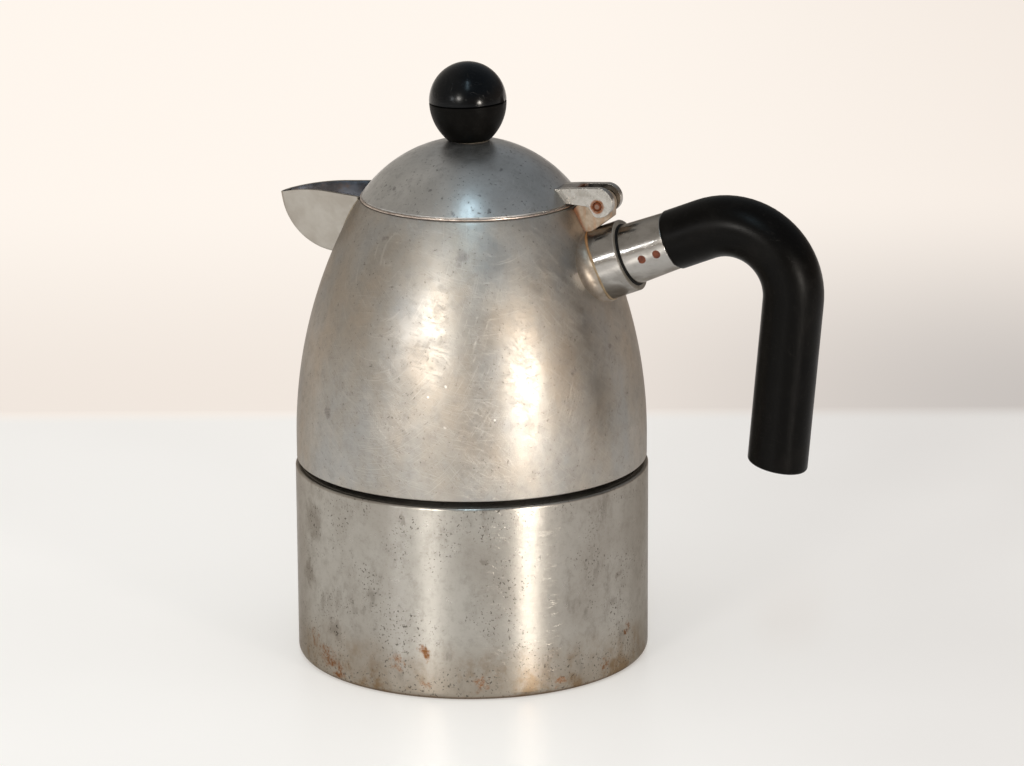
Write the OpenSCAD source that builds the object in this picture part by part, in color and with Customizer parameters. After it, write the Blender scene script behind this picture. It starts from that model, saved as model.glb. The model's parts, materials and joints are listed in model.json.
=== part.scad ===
// Stove-top coffee maker (moka pot): a straight boiler, an egg-shaped collector screwed on top of it,
// a hinged domed lid with a ball knob, a beak spout and a bent handle.
// The origin is the centre of the boiler's flat bottom. +Z is up, +X points to the handle,
// -X to the spout, and the lid's hinge axis runs along Y.

/* [Boiler] */
// Outer diameter of the boiler
boiler_d = 100; // [99.5:0.5:102]
// Height of the boiler's shoulder above the table
boiler_h = 55.4; // [55:0.1:56]
// Thickness of the boiler's wall and shoulder
boiler_wall = 1.6; // [1.4:0.1:2.2]
// Thickness of the boiler's bottom
boiler_floor = 2.6; // [2:0.1:3.2]
// Radius of the rounded bottom edge
boiler_edge_r = 3.5; // [2:0.5:4]
// Outer radius of the boiler's neck at the thread crests
neck_r = 38; // [37.8:0.1:38]
// Height of the neck's top
neck_top = 66; // [65.8:0.1:66]

/* [Collector body] */
// Radius of the collector body where its wall is straight
body_r = 49.6; // [49.2:0.1:49.8]
// Height of the body's bottom edge
body_bottom = 57.5; // [57.2:0.1:57.8]
// Height where the straight wall starts to curve in
body_shoulder = 63; // [62:0.5:64]
// Radius of the long arc of the body's side
body_arc_r = 134.6; // [132:0.2:137]
// Height of the body's open top edge
body_top = 131.2; // [130.9:0.1:131.2]
// Thickness of the body's wall
body_wall = 1.7; // [1.4:0.1:1.9]

/* [Lid] */
// Radius of the lid's dome
dome_r = 37; // [36.8:0.1:37.2]
// Height of the dome's top
dome_top = 148.1; // [148:0.1:148.3]
// Thickness of the lid
lid_wall = 1.2; // [1:0.1:1.4]
// Radius of the lid's rim
lid_rim_r = 31; // [30.8:0.1:31.1]

/* [Knob] */
// Radius of the knob
knob_r = 11; // [10:0.5:11.5]
// Height of the seam between the knob's halves
knob_z = 159.2; // [158.8:0.1:159.5]

/* [Hinge] */
// Distance of the hinge pin from the pot's axis
hinge_x = 39.1; // [38.9:0.1:39.3]
// Height of the hinge pin
hinge_z = 132.3; // [132.1:0.1:132.5]
// Radius of the hinge pin
pin_r = 1.25; // [1:0.05:1.4]
// Width of the fork over both ears
fork_w = 9.5; // [9:0.1:10]
// Width of the lug between the ears
lug_w = 4.4; // [4:0.1:4.6]

/* [Handle] */
// Slope of the handle's first stretch, in degrees
handle_tilt = 22.2; // [20:0.2:24]
// Lean of the grip's lower end towards the pot, in degrees
grip_lean = 4.9; // [3:0.1:6]
// Radius of the grip
grip_r = 8.4; // [8:0.1:8.8]
// Radius of the grip's bend along its middle
bend_r = 18.3; // [17:0.1:20]
// Length of the grip's lower straight stretch
grip_drop = 46.9; // [40:0.5:48]
// Radius of the collar on the body
collar_r = 10.2; // [9.8:0.1:10.3]

/* [Spout] */
// Distance of the spout's tip from the pot's axis
spout_reach = 57; // [55:0.5:58]
// Radius of the spout's keel, seen from the side
keel_r = 17.6; // [17:0.1:18]
// Thickness of the spout's sheet
spout_wall = 1.1; // [0.9:0.1:1.2]

/* [Hidden] */
$fn = 96;
hair = 0.02;                            // gap between curved faces that meet inside one body
fit = 0.05;                             // running clearance of the hinge pin

steel = "lightsteelblue";
alloy = "silver";
black = [0.08, 0.08, 0.08];
cream = "wheat";

boiler_r = boiler_d / 2;
shoulder_r = 1.2;                       // rounding of the boiler's top edge
neck_root_r = neck_r - 0.9;
neck_bore_r = neck_root_r - 2.5;
thread_pitch = 3;
thread_z = neck_top - 2.2;              // height of the highest thread ridge
thread_gap = 0.35;                      // radial clearance between the thread crests

flange_t = 1.0;                         // funnel's rim
basket_r = neck_bore_r - 0.6;
basket_depth = 20;
sheet = 0.8;                            // wall of the funnel and of the filter plate
funnel_top = neck_top + flange_t;
cone_end = funnel_top - basket_depth - 14;  // height of the cone's lower end
stem_r = 5.5;
stem_grip = 4;                          // length of the cone's collar around the stem
stem_end = 7;                           // height of the funnel stem's lower end

seal_z = funnel_top + 0.1;              // underside of the gasket
seal_t = 2.0;
seal_in_r = 30.5;
plate_t = 0.8;
base_floor_z = seal_z + seal_t + 0.1;   // underside of the collector's raised floor
base_floor_t = 1.6;
base_bore_r = neck_r + thread_gap + 0.9;
base_wall = 2.4;
cone_foot_r = 12;                       // radius where the raised floor turns up around the column
column_r = 5;
column_in_r = column_r - 1.2;
column_bottom = base_floor_z + 11;
column_top = 116;
cap_top = 122;

lid_rim_z = body_top + 0.1;
dome_z = dome_top - dome_r;             // centre of the dome's sphere
bead_h = 1.0;                           // height of the lid's proud rim
knob_foot_r = 6.2;
knob_foot_z = dome_top + 0.9;
insert_r = 3;                           // threaded insert in the knob
insert_len = 8.9;
screw_r = 2;

valve_z = 38;                           // height of the safety valve, on the +Y side
valve_stub_r = 4;                       // its threaded stub, through the boiler's wall
valve_barrel_r = 4.2;                   // its barrel outside the wall
valve_hex_r = 6.9;                      // corners of its hexagons
valve_bore_r = 1.5;                     // bore that the poppet's rod runs in

collar_x = 46.5;                        // centre of the collar's open end
collar_z = 118.4;
collar_back = 12;                       // how far the collar's cylinder reaches into the body's wall
recess = 1.2;                           // depth of the gasket's seat in the collar's end
ferrule_r = 8.55;                       // at the collar
ferrule_gap = 0.4;                      // strip of gasket between collar and ferrule
ferrule_len = 14.5;
rivet_r = 1.2;                          // the ferrule's two pins
bend_start = 24.3;                      // distance of the bend from the collar's open end
stud_r = 4;
spigot_r = 6.2;                         // the ferrule's sleeve inside the grip
spigot_len = 8.5;
grip_swell = 0.1;
bend_turn = 90 + handle_tilt + grip_lean;

// ---------- shared shapes ----------

// a ring of rectangular section, standing on z0
module ring(outer, inner, z0, z1) {
    rotate_extrude() translate([inner, z0]) square([outer - inner, z1 - z0]);
}

// half profile of the body's outside, grown by g: the straight wall runs tangent into the long arc
module body_outline(g = 0, low = body_bottom, high = body_top) {
    intersection() {
        union() {
            translate([0, low]) square([body_r + g, body_shoulder - low]);
            intersection() {
                translate([body_r - body_arc_r, body_shoulder]) circle(r = body_arc_r + g, $fn = 360);
                translate([0, body_shoulder]) square([body_r + g + 1, high - body_shoulder]);
            }
        }
        translate([0, low]) square([body_r + g, high - low]);
    }
}

// the solid inside the body's outer face, for trimming what is joined to it
module body_core(g = 0) {
    rotate_extrude() body_outline(g, body_bottom - 20, body_top + 10);
}

// moves the drawing to the handle's first stretch: +Z along it, away from the pot
module along_handle() {
    translate([collar_x, 0, collar_z]) rotate([0, 90 - handle_tilt, 0]) children();
}

// places n children holes on a circle
module ring_of(n, r) {
    for (i = [0 : n - 1]) rotate(i * 360 / n) translate([r, 0, 0]) children();
}

// rings of small holes for the two sieves
module sieve_holes(rings, step, z0, z1, r) {
    translate([0, 0, z0]) {
        cylinder(r = r, h = z1 - z0, $fn = 24);
        for (k = [1 : rings]) ring_of(6 * k, k * step) cylinder(r = r, h = z1 - z0, $fn = 24);
    }
}

// annular thread ridges on a cylinder: tip is the crest radius, root the radius where they start
module thread_ridges(root, tip, z_top, count) {
    for (i = [0 : count - 1]) translate([0, 0, z_top - i * thread_pitch])
        rotate_extrude() polygon([[root, -0.9], [tip, -0.35], [tip, 0.35], [root, 0.9]]);
}

// ---------- boiler and safety valve ----------

// the cup: bottom and wall
module boiler() {
    inner_r = boiler_r - boiler_wall;
    inner_edge_r = 1.5;
    color(steel) difference() {
        rotate_extrude() difference() {
            union() {
                square([boiler_r - boiler_edge_r, boiler_h]);
                translate([0, boiler_edge_r]) square([boiler_r, boiler_h - boiler_edge_r - shoulder_r]);
                square([boiler_r - shoulder_r, boiler_h]);
                translate([boiler_r - shoulder_r, boiler_h - shoulder_r]) circle(r = shoulder_r);
            }
            difference() {
                translate([boiler_r - boiler_edge_r, 0]) square(boiler_edge_r + 1);
                translate([boiler_r - boiler_edge_r, boiler_edge_r]) circle(r = boiler_edge_r);
                translate([0, boiler_edge_r]) square([boiler_r + 1, boiler_edge_r]);
            }
            translate([0, boiler_floor + inner_edge_r]) square([inner_r, boiler_h]);
            translate([0, boiler_floor]) square([inner_r - inner_edge_r, 2]);
            translate([inner_r - inner_edge_r, boiler_floor + inner_edge_r]) circle(r = inner_edge_r);
        }
        valve_place() cylinder(r = valve_stub_r + hair, h = 20, center = true);
    }
}

// the flat shoulder, set into the cup's mouth, and the threaded neck on it
module boiler_neck() {
    color(steel) {
        rotate_extrude() {
            translate([neck_bore_r, boiler_h - boiler_wall])
                square([boiler_r - boiler_wall - hair - neck_bore_r, boiler_wall]);
            translate([neck_bore_r, boiler_h - boiler_wall])
                square([neck_root_r - neck_bore_r, neck_top - boiler_h + boiler_wall]);
        }
        thread_ridges(neck_root_r - 0.1, neck_r, thread_z, 3);
    }
}

// moves the drawing to the safety valve: +Z points out of the boiler along +Y, from the wall's outside
module valve_place() {
    translate([0, boiler_r, valve_z]) rotate([-90, 0, 0]) children();
}

module valve_body() {
    color("darkkhaki") valve_place() difference() {
        union() {
            translate([0, 0, 1.2]) cylinder(r = valve_hex_r, h = 4, $fn = 6);
            cylinder(r = valve_barrel_r, h = 9.7);
            translate([0, 0, -6]) cylinder(r = valve_stub_r, h = 7);
            translate([0, 0, 9.7]) cylinder(r1 = valve_barrel_r, r2 = valve_barrel_r - 0.8, h = 0.8);
        }
        translate([0, 0, -4]) cylinder(r = 2.7, h = 12.5);
        translate([0, 0, -7]) cylinder(r = valve_bore_r, h = 20);
    }
}

module valve_washer() {
    color("firebrick") difference() {
        valve_place() translate([0, 0, -1]) difference() {
            cylinder(r = valve_hex_r - 0.5, h = 2.2);
            cylinder(r = valve_barrel_r + hair, h = 10, center = true);
        }
        cylinder(r = boiler_r + hair, h = boiler_h, $fn = 720);
    }
}

module valve_nut() {
    color("darkkhaki") valve_place() translate([0, 0, -5.8]) difference() {
        cylinder(r = valve_hex_r, h = 3.2, $fn = 6);
        cylinder(r = valve_stub_r + hair, h = 10, center = true);
    }
}

module valve_poppet() {
    color(steel) valve_place() {
        translate([0, 0, -3.9]) cylinder(r = 2.3, h = 1.4);
        translate([0, 0, -3]) cylinder(r = valve_bore_r - 0.3, h = 14.3);
    }
}

// centre line of the spring's wire, by turn angle
function coil(a, r, rise) = [r * cos(a), r * sin(a), rise * a / 360];

// a round wire wound on a cylinder: r is the coil's mean radius, wire the wire's radius
module coil_wire(r, wire, turns, length) {
    sides = 8;
    steps = 14 * turns;
    rise = length / turns;
    slope = atan(rise / (2 * PI * r));
    points = [for (i = [0 : steps], j = [0 : sides - 1])
        let (a = 360 * turns * i / steps, b = 360 * j / sides, out = wire * cos(b), up = wire * sin(b))
        coil(a, r + out, rise) + up * [-sin(a) * -sin(slope), cos(a) * -sin(slope), cos(slope)]];
    walls = [for (i = [0 : steps - 1], j = [0 : sides - 1]) let (k = (j + 1) % sides)
        [i * sides + j, i * sides + k, (i + 1) * sides + k, (i + 1) * sides + j]];
    ends = [[for (j = [sides - 1 : -1 : 0]) j], [for (j = [0 : sides - 1]) steps * sides + j]];
    polyhedron(points = points, faces = concat(walls, ends), convexity = 6);
}

module valve_spring() {
    color("lightgray") valve_place() translate([0, 0, -2.2]) coil_wire(1.9, 0.25, 5, 10.3);
}

// ---------- funnel ----------

// basket and cone, down to the collar that holds the stem
module funnel() {
    ledge = 4;                          // width of the flat that the strainer lies on
    rim_r = neck_root_r - 0.6;
    bottom = funnel_top - basket_depth;
    color(steel) rotate_extrude() polygon([
        [basket_r - sheet, funnel_top], [rim_r, funnel_top], [rim_r, neck_top], [basket_r, neck_top],
        [basket_r, bottom], [basket_r - ledge, bottom],
        [stem_r + hair + sheet, cone_end], [stem_r + hair + sheet, cone_end - stem_grip],
        [stem_r + hair, cone_end - stem_grip], [stem_r + hair, cone_end + 0.6],
        [basket_r - ledge - 0.4, bottom + sheet], [basket_r - sheet, bottom + sheet]]);
}

module funnel_stem() {
    color(steel) ring(stem_r, stem_r - sheet, stem_end, cone_end + 0.4);
}

module funnel_strainer() {
    z = funnel_top - basket_depth + sheet;
    color(steel) difference() {
        translate([0, 0, z]) cylinder(r = basket_r - sheet - 0.1, h = sheet);
        sieve_holes(5, 5.2, z - 1, z + 2, 0.9);
    }
}

// ---------- seal under the collector ----------

module gasket() {
    color("whitesmoke") difference() {
        ring(neck_r, seal_in_r, seal_z, seal_z + seal_t);
        ring(seal_in_r + 1.6, seal_in_r - 1, seal_z + seal_t - plate_t, seal_z + seal_t + 1);
    }
}

module filter_plate() {
    z = seal_z + seal_t - plate_t;
    color(steel) difference() {
        translate([0, 0, z]) cylinder(r = seal_in_r + 1.5, h = plate_t);
        sieve_holes(5, 5.4, z - 1, z + 2, 0.9);
    }
}

// ---------- collector ----------

module collector_base() {
    floor_top = base_floor_z + base_floor_t;
    color(alloy) {
        rotate_extrude() {
            // bottom flange out to the body's wall
            translate([base_bore_r, body_bottom]) square([body_r - body_wall - hair - base_bore_r, 1.8]);
            // threaded ring
            translate([base_bore_r, body_bottom]) square([base_wall, floor_top - body_bottom]);
            // raised floor, turned up into the cone
            translate([cone_foot_r, base_floor_z]) square([base_bore_r + 1 - cone_foot_r, base_floor_t]);
            polygon([[cone_foot_r + 0.5, base_floor_z], [cone_foot_r + 2.5, floor_top],
                [column_r + 1.6, column_bottom + 2], [column_r + 1.6, column_bottom + 8],
                [column_r + hair, column_bottom + 8], [column_r + hair, column_bottom],
                [column_r - 0.8, column_bottom], [column_r - 0.8, column_bottom - 1],
                [cone_foot_r, base_floor_z]]);
        }
        thread_ridges(base_bore_r + 0.1, base_bore_r - 0.9, thread_z + thread_pitch / 2, 2);
    }
}

module collector_body() {
    notch_low = 116;
    color(alloy) difference() {
        rotate_extrude() difference() {
            body_outline();
            body_outline(-body_wall, body_bottom - 1, body_top + 1);
        }
        // opening into the spout: a pointed notch in the wall
        translate([-60, 0, 0]) rotate([90, 0, 90]) linear_extrude(40)
            polygon([[-1.5, notch_low], [1.5, notch_low], [8.6, body_top + 1], [-8.6, body_top + 1]]);
    }
}

module column() {
    color(steel) ring(column_r, column_in_r, column_bottom, column_top);
}

module column_cap() {
    cap_r = column_r + 1.1;
    color(steel) difference() {
        union() {
            translate([0, 0, column_top - 5]) cylinder(r = cap_r, h = cap_top - column_top + 3);
            translate([0, 0, cap_top - 2]) cylinder(r1 = cap_r, r2 = cap_r - 2, h = 2);
        }
        translate([0, 0, column_top - 6]) cylinder(r = column_r + hair, h = 6);
        translate([0, 0, column_top - 1]) cylinder(r = column_in_r, h = cap_top - column_top - 0.2);
        for (a = [0, 90]) rotate(a) translate([0, 0, column_top + 2]) rotate([90, 0, 0])
            cylinder(r = 1.8, h = 20, center = true);
    }
}

// ---------- spout ----------

keel_x = -(spout_reach - keel_r + 0.1);
keel_z = 130.2;
lip_z = 131.7;

// height of the spout's lip and half its width, at distance x from the pot's axis
function lip_height(x) = lip_z - 2.6 * pow(max(0, (-x - 40) / 17), 2);
function lip_half(x) = (2.3 + 0.336 * (spout_reach + x)) * sqrt(min(1, max(0.02, (spout_reach + x) / 1.6)));
// rounded V across the spout: 0 at the keel, 1 at the lips
function vee(s) = (sqrt(s * s + 0.09) - 0.3) / (sqrt(1.09) - 0.3);

// solid filled up to the lips (top = 0) or past them; inset makes the same shape smaller on every side
module spout_solid(inset, top) {
    spans = 12;
    half = 8;
    row = 2 * half + 1;
    r = keel_r - inset;
    first = 45;                         // turn around the keel's centre, from under the body's wall
    last = -86;                         // to the tip
    points = [for (i = [0 : spans], j = [-half : half])
        let (a = first + (last - first) * i / spans, x = keel_x + r * sin(a), low = keel_z - r * cos(a),
             high = max(low + 0.05, lip_height(x)) + top, s = j / half,
             w = max(0.1, lip_half(x - inset * 0.6) - 1.06 * inset) * (1 + top / (high - low + 4)))
        [x, w * s, low + (high - low) * vee(abs(s))]];
    sides = [for (i = [0 : spans - 1], j = [0 : row - 2])
        [i * row + j, i * row + j + 1, (i + 1) * row + j + 1, (i + 1) * row + j]];
    lid = [for (i = [0 : spans - 1]) [i * row + row - 1, i * row, (i + 1) * row, (i + 1) * row + row - 1]];
    ends = [[for (j = [row - 1 : -1 : 0]) j], [for (j = [0 : row - 1]) spans * row + j]];
    polyhedron(points = points, faces = concat(sides, lid, ends), convexity = 6);
}

module spout() {
    color(alloy) difference() {
        spout_solid(0, 0);
        spout_solid(spout_wall, 3);
        body_core(hair);
        translate([0, 0, body_top]) cylinder(r = lid_rim_r + 0.3, h = 5);   // the lid's rim swings past here
    }
}

// ---------- hinge ----------

// places a drawing in the XZ plane, width w about the middle
module across(w) {
    rotate([90, 0, 0]) linear_extrude(w, center = true) children();
}

module hinge_lug() {
    color("tan") difference() {
        across(lug_w) difference() {
            union() {
                translate([hinge_x, hinge_z]) circle(r = 3.6);
                translate([hinge_x, hinge_z]) polygon([[-5.4, 0.6], [-7.6, -1.4], [-9, -8], [-2.7, -8],
                    [3.3, -3.4], [3.5, -0.8], [-1, 3.46]]);
            }
            translate([hinge_x, hinge_z]) circle(r = pin_r);
        }
        body_core(hair);
        along_handle() cylinder(r = collar_r + hair, h = 60, center = true);
    }
}

module hinge_pin() {
    color("sienna") translate([hinge_x, 0, hinge_z]) rotate([90, 0, 0])
        cylinder(r = pin_r, h = fork_w + 0.4, center = true);
}

module lid_fork() {
    ear_w = (fork_w - lug_w) / 2 - 0.25;
    ear_x = hinge_x + 0.3;
    ear_z = hinge_z + 1;
    ear_r = 4.1;
    color(alloy) difference() {
        union() {
            // ears
            for (side = [-1, 1]) translate([0, side * (fork_w - ear_w) / 2, 0]) across(ear_w) union() {
                translate([ear_x, ear_z]) circle(r = ear_r);
                translate([ear_x - 6.4, ear_z]) square([6.4, ear_r]);
            }
            // bridge to the dome
            across(fork_w) translate([20, ear_z]) square([ear_x - 6.2 - 20, ear_r]);
        }
        translate([0, 0, dome_z]) sphere(r = dome_r + hair, $fn = 200);
        translate([hinge_x, 0, hinge_z]) rotate([90, 0, 0]) cylinder(r = pin_r + fit, h = 30, center = true);
    }
}

// ---------- lid and knob ----------

module lid() {
    mouth_r = body_r - body_arc_r + sqrt(pow(body_arc_r - body_wall, 2) - pow(body_top - body_shoulder, 2));
    spigot_out = mouth_r - 0.9;
    color(steel) difference() {
        rotate_extrude() {
            difference() {
                intersection() {
                    translate([0, dome_z]) circle(r = dome_r, $fn = 360);
                    translate([0, lid_rim_z]) square([lid_rim_r - 0.1, dome_r]);
                }
                translate([0, dome_z]) circle(r = dome_r - lid_wall, $fn = 360);
            }
            // proud rim
            translate([spigot_out - 0.8, lid_rim_z]) square([lid_rim_r - spigot_out + 0.8, bead_h]);
            // short inner ring that centres the lid in the body's mouth
            translate([spigot_out - 0.8, lid_rim_z - 2.2]) square([0.8, 2.6]);
        }
        cylinder(r = screw_r + 0.1, h = 200);
    }
}

module knob_washer() {
    color(cream) difference() {
        translate([0, 0, dome_top - 1]) cylinder(r = knob_foot_r + 0.1, h = knob_foot_z - dome_top + 1);
        translate([0, 0, dome_z]) sphere(r = dome_r + hair, $fn = 360);
        cylinder(r = screw_r + 0.3, h = 400);
    }
}

// lower half of the knob: its side is an arc that comes in to the foot's radius
module knob_base() {
    drop = knob_z - knob_foot_z;
    lean = 2 * atan((knob_r - knob_foot_r) / drop);
    side_r = drop / sin(lean);
    color(black) difference() {
        rotate_extrude() intersection() {
            translate([knob_r - side_r, knob_z]) circle(r = side_r, $fn = 200);
            translate([0, knob_foot_z]) square([knob_r, drop]);
        }
        translate([0, 0, knob_foot_z - 1]) cylinder(r = insert_r + hair, h = insert_len + 1.1);
    }
}

module knob_cap() {
    color(black) rotate_extrude() difference() {
        intersection() {
            translate([0, knob_z]) circle(r = knob_r, $fn = 200);
            translate([0, knob_z]) square(knob_r);
        }
        translate([0, knob_z]) circle(r = knob_r - 3);
    }
}

module knob_insert() {
    color("goldenrod") difference() {
        translate([0, 0, knob_foot_z]) cylinder(r = insert_r, h = insert_len);
        translate([0, 0, knob_foot_z - 1]) cylinder(r = screw_r + hair, h = insert_len + 0.1);
    }
}

module knob_screw() {
    head_r = screw_r + 1.8;
    head_z = dome_z + sqrt(pow(dome_r - lid_wall, 2) - pow(head_r, 2)) - 2 * hair;
    color(steel) difference() {
        union() {
            translate([0, 0, head_z - 2.2]) cylinder(r = head_r, h = 2.2);
            translate([0, 0, head_z - 1]) cylinder(r = screw_r, h = 9.6);
        }
        translate([-0.5, -5, head_z - 3]) cube([1, 10, 1.8]);
    }
}

// ---------- handle ----------

module handle_collar() {
    color(steel) difference() {
        along_handle() translate([0, 0, -collar_back]) difference() {
            cylinder(r = collar_r, h = collar_back);
            translate([0, 0, -1]) cylinder(r = stud_r + hair, h = collar_back + 2);
            translate([0, 0, collar_back - recess]) cylinder(r = collar_r - 1, h = recess + 1);
        }
        body_core(hair);
    }
}

module collar_gasket() {
    color(black) along_handle() ring(collar_r - 1 - hair, stud_r + hair, -recess, ferrule_gap);
}

// tapers from the collar's end to the grip's, with a sleeve inside the grip
module handle_ferrule() {
    color(steel) along_handle() difference() {
        union() {
            translate([0, 0, ferrule_gap])
                cylinder(r1 = ferrule_r, r2 = grip_r - 0.35, h = ferrule_len - ferrule_gap);
            translate([0, 0, ferrule_len - 1]) cylinder(r = spigot_r, h = spigot_len + 1);
        }
        translate([0, 0, -1]) cylinder(r = stud_r + hair, h = 40);
        ferrule_pin_places() cylinder(r = rivet_r + hair, h = 40, center = true);
    }
}

// the two pins' places: axis across the handle, turned a little down on the near side
module ferrule_pin_places() {
    for (s = [6, 10.6]) translate([0, 0, s]) rotate([90, 0, 10]) children();
}

module ferrule_pins() {
    color("saddlebrown") along_handle() ferrule_pin_places()
        cylinder(r = rivet_r, h = 2 * ferrule_r + 0.1, center = true);
}

module handle_stud() {
    color("gray") along_handle() difference() {
        translate([0, 0, -collar_back + 2]) cylinder(r = stud_r, h = collar_back + 18);
        ferrule_pin_places() cylinder(r = rivet_r + hair, h = 40, center = true);
        rotate([0, handle_tilt - 90, 0]) translate([-collar_x, 0, -collar_z]) body_core(hair);
    }
}

// The grip swells a little on its way down, so each stretch starts inside the one before it.
module handle_grip() {
    lap = 0.3;
    end_r = 1.8;
    low_r = grip_r + grip_swell;
    color(black) difference() {
        union() {
            along_handle() translate([0, 0, ferrule_len])
                cylinder(r = grip_r - grip_swell, h = bend_start - ferrule_len + lap);
            grip_bend();
            grip_lower() rotate_extrude() {
                translate([0, -lap]) square([low_r, grip_drop - end_r + lap]);
                square([low_r - end_r, grip_drop]);
                translate([low_r - end_r, grip_drop - end_r]) circle(r = end_r);
            }
        }
        along_handle() translate([0, 0, ferrule_len - 1]) cylinder(r = spigot_r + hair, h = spigot_len + 1.2);
    }
}

// the bend: a quarter-and-more of a round ring, in the plane of the handle
module grip_bend() {
    along_handle() translate([bend_r, 0, bend_start]) rotate([-90, 0, 0])
        rotate([0, 0, 180]) rotate_extrude(angle = bend_turn) translate([bend_r, 0]) circle(r = grip_r);
}

// the grip's lower stretch: +Z runs down along it
module grip_lower() {
    along_handle() translate([bend_r, 0, bend_start]) rotate([0, bend_turn, 0])
        translate([-bend_r, 0, 0]) children();
}

boiler();
boiler_neck();
valve_body();
valve_washer();
valve_nut();
valve_poppet();
valve_spring();
funnel();
funnel_stem();
funnel_strainer();
gasket();
filter_plate();
collector_base();
collector_body();
column();
column_cap();
spout();
hinge_lug();
hinge_pin();
handle_collar();
collar_gasket();
handle_ferrule();
ferrule_pins();
handle_stud();
handle_grip();
lid();
lid_fork();
knob_washer();
knob_base();
knob_cap();
knob_insert();
knob_screw();
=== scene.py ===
import json
import math

import bmesh
import bpy
from mathutils import Matrix, Vector

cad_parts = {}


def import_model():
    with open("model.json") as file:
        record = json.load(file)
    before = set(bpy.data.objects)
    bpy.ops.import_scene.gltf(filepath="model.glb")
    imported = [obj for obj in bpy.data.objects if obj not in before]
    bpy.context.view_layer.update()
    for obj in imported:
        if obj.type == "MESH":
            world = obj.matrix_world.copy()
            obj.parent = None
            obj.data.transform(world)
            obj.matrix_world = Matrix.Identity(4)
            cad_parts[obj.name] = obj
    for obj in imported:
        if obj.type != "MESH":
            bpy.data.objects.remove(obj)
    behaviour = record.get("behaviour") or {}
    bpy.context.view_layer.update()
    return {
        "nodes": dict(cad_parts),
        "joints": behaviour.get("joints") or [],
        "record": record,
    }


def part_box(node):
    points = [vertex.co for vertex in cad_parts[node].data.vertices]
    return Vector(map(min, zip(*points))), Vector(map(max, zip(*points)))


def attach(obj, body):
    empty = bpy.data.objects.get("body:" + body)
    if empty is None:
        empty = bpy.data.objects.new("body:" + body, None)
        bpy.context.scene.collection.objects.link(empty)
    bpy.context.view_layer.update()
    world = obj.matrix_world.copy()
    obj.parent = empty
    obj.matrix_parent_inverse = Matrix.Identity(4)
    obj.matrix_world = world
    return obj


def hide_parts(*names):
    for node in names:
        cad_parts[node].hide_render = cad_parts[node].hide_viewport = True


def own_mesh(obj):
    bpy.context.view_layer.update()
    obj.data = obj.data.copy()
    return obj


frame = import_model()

MM = 0.001
SLOT_OF = {row["node"]: row["material_slot"] for row in frame["record"]["subparts"]}
BODY_OF = {node: body for body, nodes in frame["record"]["behaviour"]["bodies"].items() for node in nodes}


def low(node):
    """Lowest corner of a CAD node, in millimetres."""
    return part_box(node)[0] / MM


def high(node):
    """Highest corner of a CAD node, in millimetres."""
    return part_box(node)[1] / MM


# ---------- sizes ----------

HAIR = 0.02             # gap between pieces that meet
SINK = 0.3              # how far a joined piece reaches into the wall it is joined to

BOILER_R = high("boiler").x
NECK_TOP = high("boiler_neck").z
BOILER_TOP = high("boiler").z
BOILER_WALL = 1.6
BOILER_FLOOR = 2.6
NECK_R = 38
NECK_ROOT = 37.1
NECK_BORE = 34.6
PITCH = 3
THREAD_TOP = NECK_TOP - 2.2

BODY_R = high("collector_body").x
BODY_LOW = low("collector_body").z - 0.4
BODY_TOP = high("collector_body").z
BODY_SHOULDER = 63      # height where the straight wall starts to curve in
BODY_ARC = 134.6        # radius of the wall's long arc
BODY_WALL = 1.7

DOME_R = 37
DOME_TOP = high("lid").z
DOME_Z = DOME_TOP - DOME_R
LID_RIM_Z = BODY_TOP + 0.1
LID_RIM_R = 31
LID_WALL = 1.2

KNOB_R = high("knob_cap").x
KNOB_SEAM = low("knob_cap").z - 0.55
KNOB_TOP = high("knob_cap").z - 0.3
KNOB_FOOT = DOME_TOP - 0.2
KNOB_FOOT_R = 6.0
INSERT_TOP = high("knob_insert").z
SCREW_R = 2
INSERT_R = 3

HINGE = Vector(next(j for j in frame["joints"] if j["name"] == "lid_hinge")["pos_m"]) / MM
PIN_R = 1.25
FORK_W = high("lid_fork").y - low("lid_fork").y
LUG_W = high("hinge_lug").y - low("hinge_lug").y

SPOUT_REACH = -low("spout").x
KEEL_R = 17.6
KEEL = Vector((-SPOUT_REACH + KEEL_R - 0.02, 0, 130.2))
LIP_Z = high("spout").z
SPOUT_WALL = 1.1

HANDLE_TILT = math.radians(22.2)
GRIP_LEAN = math.radians(4.9)
HANDLE_START = Vector((47.15, 0, 118.35))     # centre of the collar's open end
BEND_START = 23.6
BEND_R = 18.3
BEND_TURN = math.pi / 2 + HANDLE_TILT + GRIP_LEAN
GRIP_DROP = 47.6
GRIP_R = 8.4
GRIP_START = 13.4
GRIP_END = BEND_START + BEND_R * BEND_TURN + GRIP_DROP
COLLAR_R = 10.2
LIP_R = 8.85              # opening in the collar's end
FERRULE_R = 8.55
FERRULE_GAP = 0.3
SPIGOT_R = 6.2
SPIGOT_END = 21.8
STUD_R = 4
RIVET_R = 1.2

VALVE_Z = 38
VALVE_STUB_R = 4
VALVE_BARREL_R = 4.2
VALVE_HEX_R = 6.9
VALVE_BORE_R = 1.5

FRONT = 20              # azimuth that the camera looks from


def around(turn, radius, z):
    """Point at a height and a radius, turned to the right of the camera's side of the pot."""
    a = math.radians(FRONT + turn)
    return Vector((radius * math.sin(a), -radius * math.cos(a), z))


FACING = around(0, 1, 0)
RIGHT = around(90, 1, 0)


def body_radius(z, inset=0.0):
    """Radius of the collector's outer face at a height, or of a face that lies inset within it."""
    rise = max(0.0, z - BODY_SHOULDER)
    return BODY_R - BODY_ARC + math.sqrt((BODY_ARC - inset) ** 2 - rise ** 2)


def outside_body(point):
    """How far a point lies outside the collector's face, or the lid's rim above it; negative inside."""
    face = body_radius(point.z) if point.z < BODY_TOP - 0.05 else LID_RIM_R + 0.5
    return math.hypot(point.x, point.y) - face


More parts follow.
